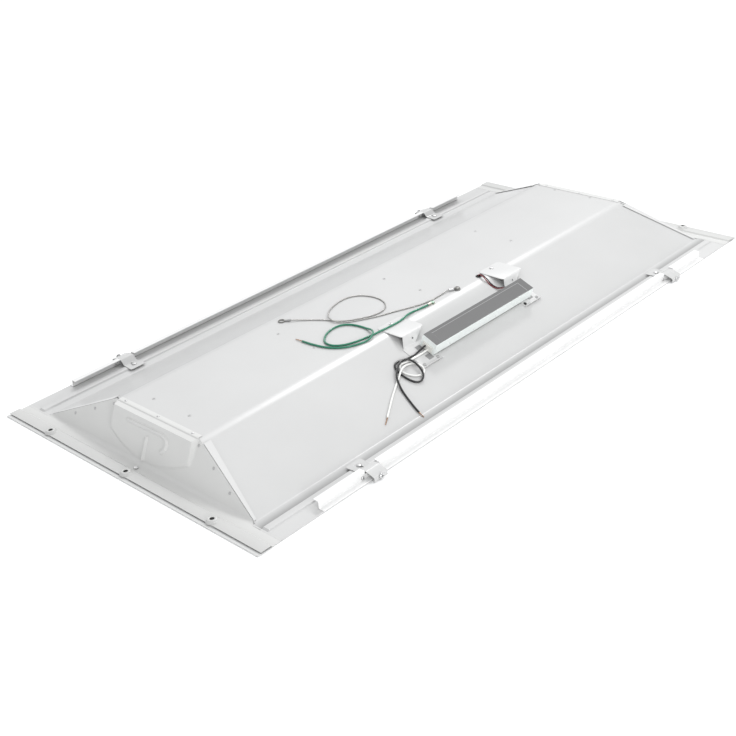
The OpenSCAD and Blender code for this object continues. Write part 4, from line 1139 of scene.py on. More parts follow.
class TROFFER_OT_housing(bpy.types.Operator):
    """Form the reflector housing from one sheet"""
    bl_idname = "troffer.housing"
    bl_label = "Housing"

    def execute(self, context):
        s = sizes()
        rib, ramp, rib_z = rib_y(), 0.0015, FLANGE_Z + s.rib_h
        half = [
            (s.ridge_y, PANEL_Z), (foot_y(), FLANGE_Z), (rib, FLANGE_Z), (rib + ramp, rib_z),
            (rib + s.rib_w - ramp, rib_z), (rib + s.rib_w, FLANGE_Z), (SHEET_EDGE_Y, FLANGE_Z),
        ]
        rounds = [(s.ridge_bend, 8), (s.foot_bend, 5)] + 4 * [(0.0006, 3)]
        sheet = folded_sheet("housing_sheet", mirror_path(half) + half, -SEAM_X, SEAM_X)
        round_folds(sheet, [((side * y, z), width, segments)
                            for (y, z), (width, segments) in zip(half, rounds) for side in (1, -1)])
        self.trim_ends(sheet)
        self.close_ribs(sheet)
        thicken(sheet, SHEET)
        cut_with(sheet, self.holes())
        smooth(sheet, 30)
        ride_root(sheet, "housing_white", "reflector_body")
        # The hems take the lightened hem white: painted light.
        ride_root(join("housing_hems", self.hems()), "housing_white", other="hem_white")
        return {"FINISHED"}

    def hems(self):
        """The wedge-shaped strips folded back on the slopes along the end walls."""
        foot, lean = foot_x(), sizes().end_lean
        head = foot - lean
        length = math.hypot(slope_run(), RISE)
        top, low, margin = HEM_START, length - HEM_STOP, 0.016
        lines = [((head - HEM_GAP, 0), (foot - HEM_GAP, -length), True),
                 ((head - HEM_WIDE, -top), (foot - HEM_NARROW, -low), False)]
        out = []
        for turn in (0, math.pi):
            for flip in (1, -1):
                select_nothing()
                bpy.ops.mesh.primitive_plane_add(
                    size=1, location=((head + foot - margin) / 2, -(top + low) / 2, 2 * SHEET))
                hem = named("hem")
                hem.scale = (lean + margin, low - top, 1)
                settle(hem)
                edit(hem)
                for (xa, ya), (xb, yb), outer in lines:
                    split((xa, ya, 0), (ya - yb, xb - xa, 0), clear_outer=outer, clear_inner=not outer)
                done()
                thicken(hem, 2 * SHEET)
                for v in hem.data.vertices:
                    edge = head + lean * min(1, -v.co.y / length)
                    if v.co.z < TINY and v.co.x < edge - HEM_RIM:
                        v.co.z = HEM_LIFT * SHEET
                if flip < 0:
                    place(hem, Matrix.Diagonal((-1, 1, 1, 1)))
                    edit(hem)
                    face_outwards()
                    done()
                place(hem, Matrix.Rotation(turn, 4, "Z") @ slope_matrix())
                out.append(hem)
        return out

    def close_ribs(self, sheet):
        """Runs each rib down to the flange at its two ends."""
        edit(sheet)
        for back in RIB_STOP:
            for side in (-1, 1):
                split((side * (SEAM_X - back), 0, 0), (1, 0, 0))
        done()
        inner_y = (foot_y() + rib_y()) / 2
        rib_top = FLANGE_Z + 2 * sizes().rib_h
        for v in sheet.data.vertices:
            on_rib = abs(v.co.y) > inner_y and FLANGE_Z < v.co.z < rib_top
            if on_rib and abs(v.co.x) > SEAM_X - RIB_STOP[1] - TINY:
                v.co.z = FLANGE_Z

    def trim_ends(self, sheet):
        """Cuts the slopes and the panel along the end walls, and leaves the side flanges long."""
        edge, lean = wall_edge_y(), sizes().end_lean
        edit(sheet)
        for side in (-1, 1):
            split((0, side * edge, 0), (0, 1, 0))
        for side in (-1, 1):
            slice_away(sheet, lambda c, n: abs(c.y) < edge, (side * foot_x(), 0, FLANGE_Z),
                       (side * RISE, 0, lean))
        done()

    def holes(self):
        """Cutters for the holes and the relief slots in the top panel."""
        anchors = (FIXED_EYE, (GROUND_X, GROUND_Y))
        out = [drum("hole", (*BUSHING, PANEL_Z), BUSHING_HOLE_R, 0.01)]
        out += [drum("hole", (*where, PANEL_Z), ANCHOR_HOLE_R, 0.01) for where in anchors]
        slot_y = sizes().ridge_y + RELIEF_HALF.y
        for side in (-1, 1):
            slot = block("slot", -RELIEF_HALF, RELIEF_HALF)
            middle = Matrix.Translation((side * RELIEF_X, -side * slot_y, PANEL_Z - RELIEF_DROP))
            place(slot, middle @ Matrix.Rotation(side * RELIEF_TURN, 4, "Z"))
            out.append(slot)
        return out


# The panel pressed in an end wall: half width, distance below the wall's top, and how far it stands out
PRESS_Y = 0.097
PRESS_DROP = 0.0014
PRESS_OUT = 0.008
# Width of its flank, steepness of its ledge, curve of its foot, and the blends between these
PRESS_FLANK = 0.007
PRESS_LEDGE = 6
PRESS_FOOT = 2.97
CORNER_BLEND = 0.002
FOOT_BLEND = 0.006
# The two beads on the panel, as points (up, across), with their half width and height
BEAD_LINE = [(0.054, -0.052), (0.055, 0.026), (0.0535, 0.034), (0.050, 0.039), (0.044, 0.041), (0.037, 0.039),
             (0.030, 0.033)]
BEAD_UPRIGHT = [(0.041, -0.0045), (0.005, -0.0055)]
BEAD_HALF = 0.0034
BEAD_H = 0.0026
# The end flange: where it steps up from the wall's foot, its height there, and its bosses
STEP_START = 0.019
STEP_END = 0.022
PAD_Z = FLANGE_Z + 0.0022
BOSS_X = PAD_EDGE_X - 0.0075
BOSSES_Y = (-0.193, 0, 0.193)
BOSS_HOLE_R = 0.0093
# A boss as (radius, height) above its pad
BOSS = [
    (0.0096, -SHEET), (0.0096, 0.00004), (0.0089, 0.0003), (0.0072, 0.0028), (0.0068, 0.0034),
    (0.0061, 0.0036), (0.0038, 0.0036), (0.0035, 0.0034), (0.0035, 0.0028), (0.0059, 0.0028),
    (0.0082, -SHEET),
]
# Rivets: those of the lap, and those of a wall as shares of the slope's run
LAP_RIVETS_Y = (-0.080, -0.002, 0.077)
LAP_RIVET_IN = 0.004
WALL_RIVETS = (0.02, 0.3, 0.6)
WALL_RIVET_IN = 0.007
END_RIVET_D = 0.0024


def step_up(value, low, high):
    """Smooth rise from 0 at low to 1 at high."""
    t = min(1.0, max(0.0, (value - low) / (high - low)))
    return t * t * (3 - 2 * t)


def soft_min(a, b, reach):
    """The lesser of two values, blended where they are close."""
    h = max(reach - abs(a - b), 0) / reach
    return min(a, b) - h * h * reach / 4


def near_line(point, line):
    """Distance from a point to a line of points."""
    best = 1.0
    for a, b in zip(line, line[1:]):
        a, b = Vector(a), Vector(b)
        t = max(0.0, min(1.0, (point - a).dot(b - a) / (b - a).length_squared))
        best = min(best, (point - a - t * (b - a)).length)
    return best


def press_out(up, across, top):
    """How far the panel stands out from the leaning wall: most at its top, where a ledge carries it."""
    ledge = (top - up) * PRESS_LEDGE
    foot = up - PRESS_FOOT * across * across
    inside = soft_min(soft_min(ledge, PRESS_Y - abs(across), CORNER_BLEND), foot, FOOT_BLEND)
    return PRESS_OUT * up / top * step_up(inside, 0, PRESS_FLANK)


def bead_height(up, across):
    """Height of the two beads on the panel."""
    nearest = min(near_line(Vector((up, across)), line) for line in (BEAD_LINE, BEAD_UPRIGHT))
    return BEAD_H * step_up(1 - (nearest / BEAD_HALF) ** 2, 0, 1)


class TROFFER_OT_end_plates(bpy.types.Operator):
    """Form the two end plates with their pressed walls and bosses"""
    bl_idname = "troffer.end_plates"
    bl_label = "End plates"

    def execute(self, context):
        right = self.plate("end_plate_right_formed")
        left = right.copy()
        left.data = right.data.copy()
        left.name = left.data.name = "end_plate_left_formed"
        context.scene.collection.objects.link(left)
        left.matrix_world = HALF_TURN
        settle(left)
        ride_root(right, "end_white", "end_plate_right")
        ride_root(left, "end_white", "end_plate_left")
        on_wall = [wall_matrix() @ Matrix.Translation((*p, SHEET)) for p in self.wall_rivets()]
        on_lap = [Matrix.Translation((LAP_X + LAP_RIVET_IN, y, PANEL_Z + SHEET)) for y in LAP_RIVETS_Y]
        for side, turn in (("right", Matrix.Identity(4)), ("left", HALF_TURN)):
            wall = repeat("wall_rivets", rivet(END_RIVET_D, SHEET), [turn @ m for m in on_wall])
            lap = repeat("lap_rivets", rivet(END_RIVET_D, 2 * SHEET), [turn @ m for m in on_lap])
            ride_root(join("end_rivets_" + side + "_set", [wall, lap]), "rivet_steel", "end_rivets_" + side)
        dress("end_bolts", "bright_screw", 0.0003)
        return {"FINISHED"}

    def wall_rivets(self):
        """Places along a wall's two sloping edges, in the wall's own frame."""
        ridge, run, length = sizes().ridge_y, slope_run(), wall_length()
        return [(-length * (1 - k) + WALL_RIVET_IN, side * (ridge + k * run))
                for side in (-1, 1) for k in WALL_RIVETS]

    def plate(self, name):
        """The right end plate: lap, leaning wall, flange and bosses."""
        lean, foot = wall_angle(), foot_x()
        head = foot - sizes().end_lean
        path = [
            (LAP_X, PANEL_Z + SHEET), (head + SHEET * math.tan(lean / 2), PANEL_Z + SHEET),
            (foot + SHEET / math.sin(lean), FLANGE_Z), (foot + STEP_START, FLANGE_Z),
            (foot + STEP_END, PAD_Z), (PAD_EDGE_X, PAD_Z),
        ]
        plate = folded_sheet(name, path, -SHEET_EDGE_Y, SHEET_EDGE_Y)
        round_folds(plate, [(path[1], 0.0018, 3), (path[2], 0.004, 4)])
        place(plate, Matrix.Rotation(-QUARTER, 4, "Z"))
        self.press(plate)
        self.trim_sides(plate)
        thicken(plate, SHEET)
        cut_with(plate, [drum("hole", (BOSS_X, y, PAD_Z), BOSS_HOLE_R, 0.006) for y in BOSSES_Y])
        smooth(plate, 30)
        bosses = repeat("bosses", turned("boss", BOSS, sides=40, ring=True),
                        [Matrix.Translation((BOSS_X, y, PAD_Z)) for y in BOSSES_Y])
        return join(name, [plate, bosses])

    def press(self, plate):
        """Presses the raised panel and its beads into the wall."""
        facing = math.sin(wall_angle())
        margin = 0.004

        def on_wall(c, n):
            return abs(n.x - facing) < 0.015

        edit(plate)
        for side in (-1, 1):
            select_faces(plate, on_wall)
            bpy.ops.mesh.bisect(plane_co=(0, side * (PRESS_Y + margin), 0), plane_no=(0, 1, 0))
        select_faces(plate, lambda c, n: on_wall(c, n) and abs(c.y) < PRESS_Y)
        bpy.ops.mesh.subdivide(number_cuts=127)
        done()
        inward = wall_matrix().inverted()
        out = wall_matrix().to_3x3() @ Vector((0, 0, 1))
        top = wall_length() - PRESS_DROP
        for v in plate.data.vertices:
            local = inward @ v.co
            in_panel = abs(local.y) < PRESS_Y + margin - 0.001 and -top < local.x < -0.0005
            if in_panel and abs(local.z - SHEET) < TINY:
                v.co.x += press_out(-local.x, local.y, top)
                v.co += out * bead_height(-local.x, local.y)

    def trim_sides(self, plate):
        """Trims the wall along the slopes, the lap at its ends and the corners beside the side flanges."""
        ridge, edge = sizes().ridge_y, wall_edge_y()

        def wall(c, n):
            return c.x < SEAM_X and c.z > FLANGE_Z + 0.0004

        def lap(c, n):
            return c.z > PANEL_Z + 0.5 * SHEET

        def flange(c, n):
            return abs(c.z - FLANGE_Z) < 1e-6

        edit(plate)
        for side in (-1, 1):
            slice_away(plate, wall, (0, side * edge, FLANGE_Z), (0, side * RISE, slope_run()))
            slice_away(plate, lap, (0, side * (ridge - 0.004), 0), (0, side, 0))
            select_faces(plate, flange)
            bpy.ops.mesh.bisect(plane_co=(0, side * edge, 0), plane_no=(0, 1, 0))
        slice_away(plate, lambda c, n: flange(c, n) and abs(c.y) > edge, (SEAM_X + 0.0001, 0, 0), (-1, 0, 0))
        done()


# How far the trim frame's opening lies inside the housing's feet
TRIM_LAP = 0.004
TRIM_HOLE_R = 0.004


class TROFFER_OT_trim(bpy.types.Operator):
    """Form the trim frame that faces the ceiling"""
    bl_idname = "troffer.trim"
    bl_label = "Trim frame"

    def execute(self, context):
        inner_x, inner_y = foot_x() - TRIM_LAP, foot_y() - TRIM_LAP
        select_nothing()
        bpy.ops.mesh.primitive_plane_add(size=2, location=(0, 0, TRIM_TOP))
        trim = named("trim_frame_formed")
        trim.scale = (FRAME_HALF.x, FRAME_HALF.y, 1)
        settle(trim)
        edit(trim)
        for x in (inner_x, PAD_EDGE_X):
            for side in (-1, 1):
                split((side * x, 0, 0), (1, 0, 0))
        for side in (-1, 1):
            split((0, side * inner_y, 0), (0, 1, 0))
        select_faces(trim, lambda c, n: abs(c.x) < inner_x and abs(c.y) < inner_y)
        bpy.ops.mesh.delete(type="FACE")
        done()
        thicken(trim, TRIM_TOP)
        edit(trim)
        select_faces(trim, lambda c, n: abs(c.x) > PAD_EDGE_X and n.z > 0.9)
        bpy.ops.mesh.extrude_region_move(TRANSFORM_OT_translate={"value": (0, 0, TRIM_TOP)})
        done()
        cut_with(trim, [drum("hole", (side * BOSS_X, y, TRIM_TOP), TRIM_HOLE_R, 0.01)
                        for side in (-1, 1) for y in BOSSES_Y])
        soften(trim, 0.00035, degrees=50)
        ride_root(trim, "trim_white", "trim_frame")
        return {"FINISHED"}


# The rails' distance from the frame's edge, their lip, and the notch that each clip passes through
RAIL_IN = 0.0095
RAIL_LIP = 0.010
RAIL_SHEET = 0.001
NOTCH_HALF = 0.0145
NOTCH_Y = (0.276, 0.292)
NOTCH_Z = (0.0096, 0.02)
# A rail's screw lies this far to the left of its clip
RAIL_SCREW_X = 0.020


class TROFFER_OT_rails(bpy.types.Operator):
    """Form the two side rails and set their screws"""
    bl_idname = "troffer.rails"
    bl_label = "Side rails"

    def execute(self, context):
        rail_y = FRAME_HALF.y - RAIL_IN
        foot = FLANGE_Z + RAIL_SHEET
        half = [(rail_y - RAIL_LIP, LIP_Z), (rail_y, LIP_Z), (rail_y, foot), (SHEET_EDGE_Y, foot)]
        for tag, side, path in (("near", -1, mirror_path(half)), ("far", 1, half)):
            rail = folded_sheet("rail_" + tag + "_formed", path, -RAIL_X, RAIL_X)
            round_folds(rail, [((side * y, z), 0.0014, 4) for y, z in half[1:3]])
            thicken(rail, RAIL_SHEET)
            cutters = []
            for x in (-CLIP_X, CLIP_X):
                cutters.append(block("notch", (x - NOTCH_HALF, side * NOTCH_Y[0], NOTCH_Z[0]),
                                     (x + NOTCH_HALF, side * NOTCH_Y[1], NOTCH_Z[1])))
                cutters.append(cross_hole((x, side * rail_y, CLIP_SCREW_Z), CLIP_HOLE_R, 0.008))
            cut_with(rail, cutters)
            smooth(rail, 30)
            ride_root(rail, "rail_white", "rail_" + tag)
        seats = [Matrix.Translation((x - RAIL_SCREW_X, side * rail_y, CLIP_SCREW_Z))
                 @ Matrix.Rotation(-side * QUARTER, 4, "X") for x in (-CLIP_X, CLIP_X) for side in (-1, 1)]
        ride_root(screws("rail_screws_set", RAIL_SCREW, seats), "bright_screw", "rail_screws")
        return {"FINISHED"}


# A clip's outline as (across, height) on the far side, from its foot through the rail's notch to its tab
CLIP_PATH = [(0.250, 0.0053), (0.273, 0.0053), (0.280, 0.013), (0.290, 0.013), (0.304, 0.0086),
             (0.3055, 0.0071), (0.3055, 0.0011)]
CLIP_SHEET = 0.001
CLIP_FOOT_W = 0.030
CLIP_NECK_W = 0.026
# How far a clip slides, its rivet's place, and the seat of its draw screw
CLIP_TRAVEL = 0.006
CLIP_RIVET_Y = 0.2628
CLIP_SEAT_Y = 0.3058
CLIP_TAB_Y = 0.305
# A clip's rivet as (radius, height) about the seat of its head
CLIP_RIVET = [
    (0.0027, -0.0031), (0.0027, -0.0024), (0.002, -0.0024), (0.002, 0), (0.004, 0), (0.0039, 0.0005),
    (0.0033, 0.0011), (0.0022, 0.0014),
]
CLIP_RIVET_Z = CLIP_PATH[0][1] + 0.0003


class TROFFER_OT_clips(bpy.types.Operator):
    """Form the four sliding clips with their screws and rivets"""
    bl_idname = "troffer.clips"
    bl_label = "Clips"

    def execute(self, context):
        for tag, (sx, sy) in PLACES.items():
            x = sx * CLIP_X
            clip = self.clip("clip_" + tag + "_formed", x, sy)
            paint(clip, "clip_steel")
            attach(clip, "clip_" + tag + "_slider")
            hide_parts("clip_" + tag)
            turn = Matrix.Rotation(-sy * QUARTER, 4, "X")
            seat = Matrix.Translation((x, sy * CLIP_SEAT_Y, CLIP_SCREW_Z)) @ turn
            bolt = screws("clip_screw_" + tag + "_threaded", CLIP_SCREW, [seat])
            paint(bolt, "bright_screw")
            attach(bolt, "clip_" + tag + "_driver_screw")
            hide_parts("clip_screw_" + tag)
        rivets = repeat("clip_rivets_set", turned("rivet", CLIP_RIVET, sides=28), [
            Matrix.Translation((sx * CLIP_X, sy * CLIP_RIVET_Y, CLIP_RIVET_Z)) for sx, sy in PLACES.values()])
        ride_root(rivets, "rivet_steel", "clip_rivets")
        return {"FINISHED"}

    def clip(self, name, x, side):
        """A clip with its neck, its rounded foot, its slot and the hole for its screw."""
        path = CLIP_PATH if side > 0 else mirror_path(CLIP_PATH)
        foot_end, neck = CLIP_PATH[0][0], CLIP_PATH[1][0]
        clip = folded_sheet(name, path, x - CLIP_FOOT_W / 2, x + CLIP_FOOT_W / 2)
        edit(clip, "VERT")
        select_corners(clip, lambda p: abs(p.y) > neck - TINY)
        bpy.ops.transform.resize(value=(CLIP_NECK_W / CLIP_FOOT_W, 1, 1), center_override=(x, 0, 0))
        done()
        edit(clip, "VERT")
        select_corners(clip, lambda p: abs(p.y - side * foot_end) < TINY)
        bpy.ops.mesh.bevel(offset=0.0035, affect="VERTICES", segments=4)
        done()
        round_folds(clip, [((side * y, z), 0.0008, 3) for y, z in CLIP_PATH[1:-1]])
        thicken(clip, CLIP_SHEET)
        start, stop = side * CLIP_RIVET_Y, side * (CLIP_RIVET_Y + CLIP_TRAVEL)
        cut_with(clip, [
            drum("slot", (x, start, 0.005), CLIP_HOLE_R, 0.02),
            drum("slot", (x, stop, 0.005), CLIP_HOLE_R, 0.02),
            block("slot", (x - CLIP_HOLE_R, start, 0), (x + CLIP_HOLE_R, stop, 0.01)),
            cross_hole((x, side * CLIP_TAB_Y, CLIP_SCREW_Z), CLIP_HOLE_R, 0.012),
        ])
        smooth(clip, 30)
        return clip


# The brackets by their place along X; each has a flange on the panel, a web and a tray on the slope
BRACKETS = {"left": -0.127, "right": 0.131}
BRACKET_SHEET = 0.001
FLANGE_X = (-0.013, 0.041)
FLANGE_Y = (-0.073, -0.127)
TRAY_X = (-0.021, 0.021)
TRAY_DOWN = (0.040, 0.0888)
TRAY_LIP = 0.003
# The web's two edges, as (at the flange, at the tray, outward side)
WEB_EDGES = ((-0.010, -0.018, -1), (0.035, 0.010, 1))
WEB_HOLE = (0.008, 0.0075, 0.0016)
# Windows in the tray, by how far down they start, and their size; a pad lies in each
WINDOWS_DOWN = (0.048, 0.070)
WINDOW_X = (-0.001, 0.011)
WINDOW_L = 0.011
PAD_GAP = 0.0002
PAD_H = 0.0006
BRACKET_SCREW_AT = (0.012, -0.082)
# The driver's screws, by bracket and side; one of the four is dark
DRIVER_SCREW_IN = 0.005
DRIVER_SCREW_X = 0.016
DRIVER_SCREWS = (
    ("driver_screws_painted", "rivet_white", (("left", -1), ("left", 1), ("right", 1))),
    ("driver_screw_dark", "dark_screw", (("right", -1),)),
)


class TROFFER_OT_brackets(bpy.types.Operator):
    """Fold the two driver brackets and set their screws"""
    bl_idname = "troffer.brackets"
    bl_label = "Driver brackets"

    def execute(self, context):
        for tag, x in BRACKETS.items():
            ride_root(self.bracket("bracket_" + tag + "_formed", x), "bracket_white", "bracket_" + tag)
            pads = [self.pad(x, down) for down in WINDOWS_DOWN]
            pads = join("bracket_" + tag + "_pads", pads)
            place(pads, slope_matrix())
            ride_root(pads, "dark_screw", other="pad_grey")
        along, across = BRACKET_SCREW_AT
        tops = [Matrix.Translation((x + along, across, PANEL_Z + BRACKET_SHEET)) for x in BRACKETS.values()]
        ride_root(screws("bracket_screws_set", BRACKET_SCREW, tops), "bright_screw", "bracket_screws")
        row = DRIVER_SCREW_IN - TRAY_DOWN[1]
        for name, look, places in DRIVER_SCREWS:
            feet = [(BRACKETS[tag] + side * DRIVER_SCREW_X, row, BRACKET_SHEET) for tag, side in places]
            piece = screws(name, DRIVER_SCREW, [slope_matrix() @ Matrix.Translation(p) for p in feet])
            ride_root(piece, "dark_screw", other=look)
            if look == "rivet_white":
                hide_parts("driver_screws")
        return {"FINISHED"}

    def bracket(self, name, x):
        """One bracket, folded from the lip of its tray up to its flange."""
        flat, start, stop = BRACKET_SHEET, *TRAY_DOWN
        path = [
            tuple(on_slope(0, stop, flat + TRAY_LIP).yz), tuple(on_slope(0, stop, flat).yz),
            tuple(on_slope(0, start, flat).yz), (FLANGE_Y[1], PANEL_Z + flat), (FLANGE_Y[0], PANEL_Z + flat),
        ]
        sheet = folded_sheet(name, path, x + TRAY_X[0], x + FLANGE_X[1])
        tray_top, front = path[2], path[3]
        self.outline(sheet, x, tray_top, front)
        round_folds(sheet, [(p, 0.0013, 3) for p in path[1:-1]])
        thicken(sheet, flat)
        cutters = []
        for down in WINDOWS_DOWN:
            window = block("window", (x + WINDOW_X[0], -down - WINDOW_L, -0.002),
                           (x + WINDOW_X[1], -down, 0.004))
            place(window, slope_matrix())
            cutters.append(window)
        along, drop, radius = WEB_HOLE
        lean = math.atan2(front[1] - tray_top[1], front[0] - tray_top[0])
        middle = (x + along, (front[0] + tray_top[0]) / 2, PANEL_Z - drop)
        cutters.append(cross_hole(middle, radius, 0.01, lean, sides=20))
        cut_with(sheet, cutters)
        smooth(sheet, 30)
        return sheet

    def pad(self, x, down):
        """A thin grey pad in a window of the tray, in the slope's own frame."""
        low = (x + WINDOW_X[0] + PAD_GAP, -down - WINDOW_L + PAD_GAP, 0)
        pad = block("pad", low, (x + WINDOW_X[1] - PAD_GAP, -down - PAD_GAP, PAD_H))
        soften(pad, 0.0002, degrees=50)
        return pad

    def outline(self, sheet, x, tray_top, front):
        """Trims the flange, the web and the tray to their widths and rounds the flange's corners."""
        edit(sheet)
        slice_away(sheet, lambda c, n: n.z > 0.99, (x + FLANGE_X[0], 0, 0), (-1, 0, 0))
        slice_away(sheet, lambda c, n: c.y < tray_top[0], (x + TRAY_X[1], 0, 0), (1, 0, 0))
        rise = front[1] - tray_top[1]
        for top, low, side in WEB_EDGES:
            slice_away(sheet, lambda c, n: tray_top[0] < c.y < front[0], (x + top, 0, front[1]),
                       (side * rise, 0, side * (low - top)))
        done()
        edit(sheet, "VERT")
        select_corners(sheet, lambda p: p.z > PANEL_Z and min(abs(p.x - x - end) for end in FLANGE_X) < TINY)
        bpy.ops.mesh.bevel(offset=0.006, affect="VERTICES", segments=5)
        done()


# The driver's cover, whose corner lies here on the slope, as (along, down, out)
DRIVER_SIZE = Vector((0.250, 0.0298, 0.023))
DRIVER_AT = (-0.116, 0.0488 + DRIVER_SIZE.y, 0.001)
# The field pressed into it: its distance from both ends, its limits across, its flank and its depth
FIELD_X = 0.014
FIELD_Y = (0.0012, 0.0245)
FIELD_RIM = 0.0006
FIELD_DROP = 0.0005
# The limits of the painted highlight lines round the field
HIGHLIGHT_LINE_X = 0.003
HIGHLIGHT_LINE_Y = (0.004, 0.027)
# The row of dimples in its front
DIMPLES = 4
DIMPLE_R = 0.0011
DIMPLE_AT = Vector((0.038, -0.0005, 0.0075))
DIMPLE_PITCH = 0.058


def driver_matrix():
    """The driver's own frame: X along it, Y uphill, Z out of the slope."""
    along, down, out = DRIVER_AT
    return slope_matrix() @ Matrix.Translation((along, -down, out))


class TROFFER_OT_driver(bpy.types.Operator):
    """Form the driver's cover over its base, board and bushings"""
    bl_idname = "troffer.driver"
    bl_label = "Driver"

    def execute(self, context):
        cover = block("driver_cover_formed", (0, 0, 0), DRIVER_SIZE)
        edit(cover)
        select_faces(cover, lambda c, n: n.z < -0.9)
        bpy.ops.mesh.delete(type="FACE")
        self.pressed_field(cover)
        done()
        thicken(cover, 0.0008)
        cut_with(cover, self.openings())
        soften(cover, 0.0005, degrees=50, segments=3)
        place(cover, driver_matrix())
        ride_root(cover, "driver_cover", "driver_cover")
        self.paint_faces(cover)
        dress("driver_base", "driver_base", 0.0003)
        dress("driver_bushing", "nylon", 0.0004)
        return {"FINISHED"}

    def openings(self):
        """Cutters for the bushing's opening, a small slot, the front's lower edge and the dimples."""
        length, width = DRIVER_SIZE.x, DRIVER_SIZE.y
        return [
            block("slot", (-0.002, 0.0058, -0.002), (0.004, 0.0238, 0.013)),
            block("slot", (0.222, width - 0.004, 0.008), (0.232, width + 0.002, 0.014)),
            block("skirt", (-0.002, -0.002, -0.002), (length + 0.002, 0.0009, 0.003)),
        ] + [self.dimple(DIMPLE_AT + Vector((DIMPLE_PITCH * k, 0, 0))) for k in range(DIMPLES)]

    def dimple(self, where):
        """A cutter for a small round dimple in the cover's front."""
        select_nothing()
        bpy.ops.mesh.primitive_uv_sphere_add(segments=16, ring_count=8, radius=DIMPLE_R, location=where)
        obj = named("dimple")
        settle(obj)
        return obj

    def paint_faces(self, cover):
        """Gives the cover's sides their lighter enamel, partly painted light, and paints a highlight on the
        lines round its field.
        """
        cover.data.materials.append(MATERIALS["driver_side"])
        cover.data.materials.append(MATERIALS["driver_line"])
        inward = driver_matrix().inverted()
        up = driver_matrix().to_3x3() @ Vector((0, 0, 1))
        for face in cover.data.polygons:
            where, facing = inward @ face.center, face.normal.dot(up)
            on_highlight_line = HIGHLIGHT_LINE_Y[0] < where.y < HIGHLIGHT_LINE_Y[1] and HIGHLIGHT_LINE_X < where.x < DRIVER_SIZE.x - HIGHLIGHT_LINE_X
            face.material_index = 1 if facing < 0.5 else 2 if facing < 0.97 and on_highlight_line else 0

    def pressed_field(self, cover):
        """Presses the cover's flat field in a little, inside its folded edge."""
        ends, sides = (FIELD_X, DRIVER_SIZE.x - FIELD_X), FIELD_Y
        planes = [((x, 0, 0), (1, 0, 0)) for x in ends] + [((0, y, 0), (0, 1, 0)) for y in reversed(sides)]
        for where, normal in planes:
            select_faces(cover, lambda c, n: n.z > 0.9)
            bpy.ops.mesh.bisect(plane_co=where, plane_no=normal)
        select_faces(cover, lambda c, n: n.z > 0.9 and ends[0] < c.x < ends[1] and sides[0] < c.y < sides[1])
        bpy.ops.mesh.inset(thickness=FIELD_RIM, depth=0)
        bpy.ops.transform.translate(value=(0, 0, -FIELD_DROP))


# The lens: radius of its trough, height of its two flanges, its wall, and the steps of its arc
LENS_R = 0.1015
LENS_FLANGE_Z = 0.0561
LENS_SHEET = 0.002
LENS_STEPS = 64


class TROFFER_OT_lens(bpy.types.Operator):
    """Draw the milky lens basket and close its ends"""
    bl_idname = "troffer.lens"
    bl_label = "Lens"

    def execute(self, context):
        edge_y = span("lens", 1)[1]
        centre = LENS_LOW + LENS_R
        start = math.asin((LENS_FLANGE_Z - centre) / LENS_R)
        sweep = -math.pi - 2 * start
        angles = [start + sweep * k / LENS_STEPS for k in range(LENS_STEPS + 1)]
        arc = [(LENS_R * math.cos(a), centre + LENS_R * math.sin(a)) for a in angles]
        path = [(edge_y, LENS_FLANGE_Z)] + arc + [(-edge_y, LENS_FLANGE_Z)]
        lens = folded_sheet("lens_formed", path, -LENS_HALF_X, LENS_HALF_X)
        thicken(lens, LENS_SHEET)
        smooth(lens, 30)
        ride_root(lens, "lens", "lens")
        for tag in ("left", "right"):
            dress("lens_cap_" + tag, "lens_cap", 0.0003, degrees=30)
        return {"FINISHED"}


# The wire bushing as (radius, height) about the panel
BUSHING_RING = [
    (0.003, -0.002), (0.0052, -0.002), (0.0052, -0.0009), (0.004, -0.0008), (0.004, 0), (0.0053, 0),
    (0.0055, 0.0005), (0.0051, 0.0012), (0.0042, 0.0016), (0.0034, 0.0015), (0.003, 0.001),
]
# The anchor screw's seat above the panel, and the grid of the boards' rivets about its middle
ANCHOR_SEAT = 0.0022
STUD_MIDDLE = (0.010, 0.008)
STUDS_X = (-0.502, -0.251, 0, 0.251, 0.502)
STUDS_Y = (-0.042, 0.042)


class TROFFER_OT_small_parts(bpy.types.Operator):
    """Set the bushing, the lug, the anchor screws and the rivets of the LED boards"""
    bl_idname = "troffer.small_parts"
    bl_label = "Small parts"

    def execute(self, context):
        bushing = turned("wire_bushing_formed", BUSHING_RING, sides=36, ring=True)
        place(bushing, Matrix.Translation((*BUSHING, PANEL_Z)))
        ride_root(bushing, "rubber_black", "wire_bushing")
        dress("ground_lug", "brass_lug", 0.0001)
        dress("ground_screw", "green_screw", 0.0004)
        seat = Matrix.Translation((*FIXED_EYE, PANEL_Z + ANCHOR_SEAT))
        anchor = screws("cable_screw_set", ANCHOR_SCREW, [seat])
        ride_root(anchor, "bright_screw", "cable_screw", other="eye_steel")
        middle_x, middle_y = STUD_MIDDLE
        studs = repeat("board_rivets_set", self.stud(), [
            Matrix.Translation((middle_x + x, middle_y + y, 0)) for x in STUDS_X for y in STUDS_Y])
        ride_root(studs, "nylon", "board_rivets", other="rivet_white")
        for tag in ("near", "far"):
            dress("lens_channel_" + tag, "end_white", 0.0002)
        return {"FINISHED"}

    def stud(self):
        """A nylon rivet from under a board to its split top over the panel."""
        low = span("board_rivets", 2)[0]
        return turned("stud", [
            (0.0024, low), (0.003, low + 0.0003), (0.003, low + 0.001), (0.0016, low + 0.001),
            (0.0016, PANEL_Z), (0.0028, PANEL_Z), (0.0027, PANEL_Z + 0.0004), (0.0019, PANEL_Z + 0.0007),
            (0.0012, PANEL_Z + 0.0006), (0.001, PANEL_Z - 0.0004),
        ], sides=24)


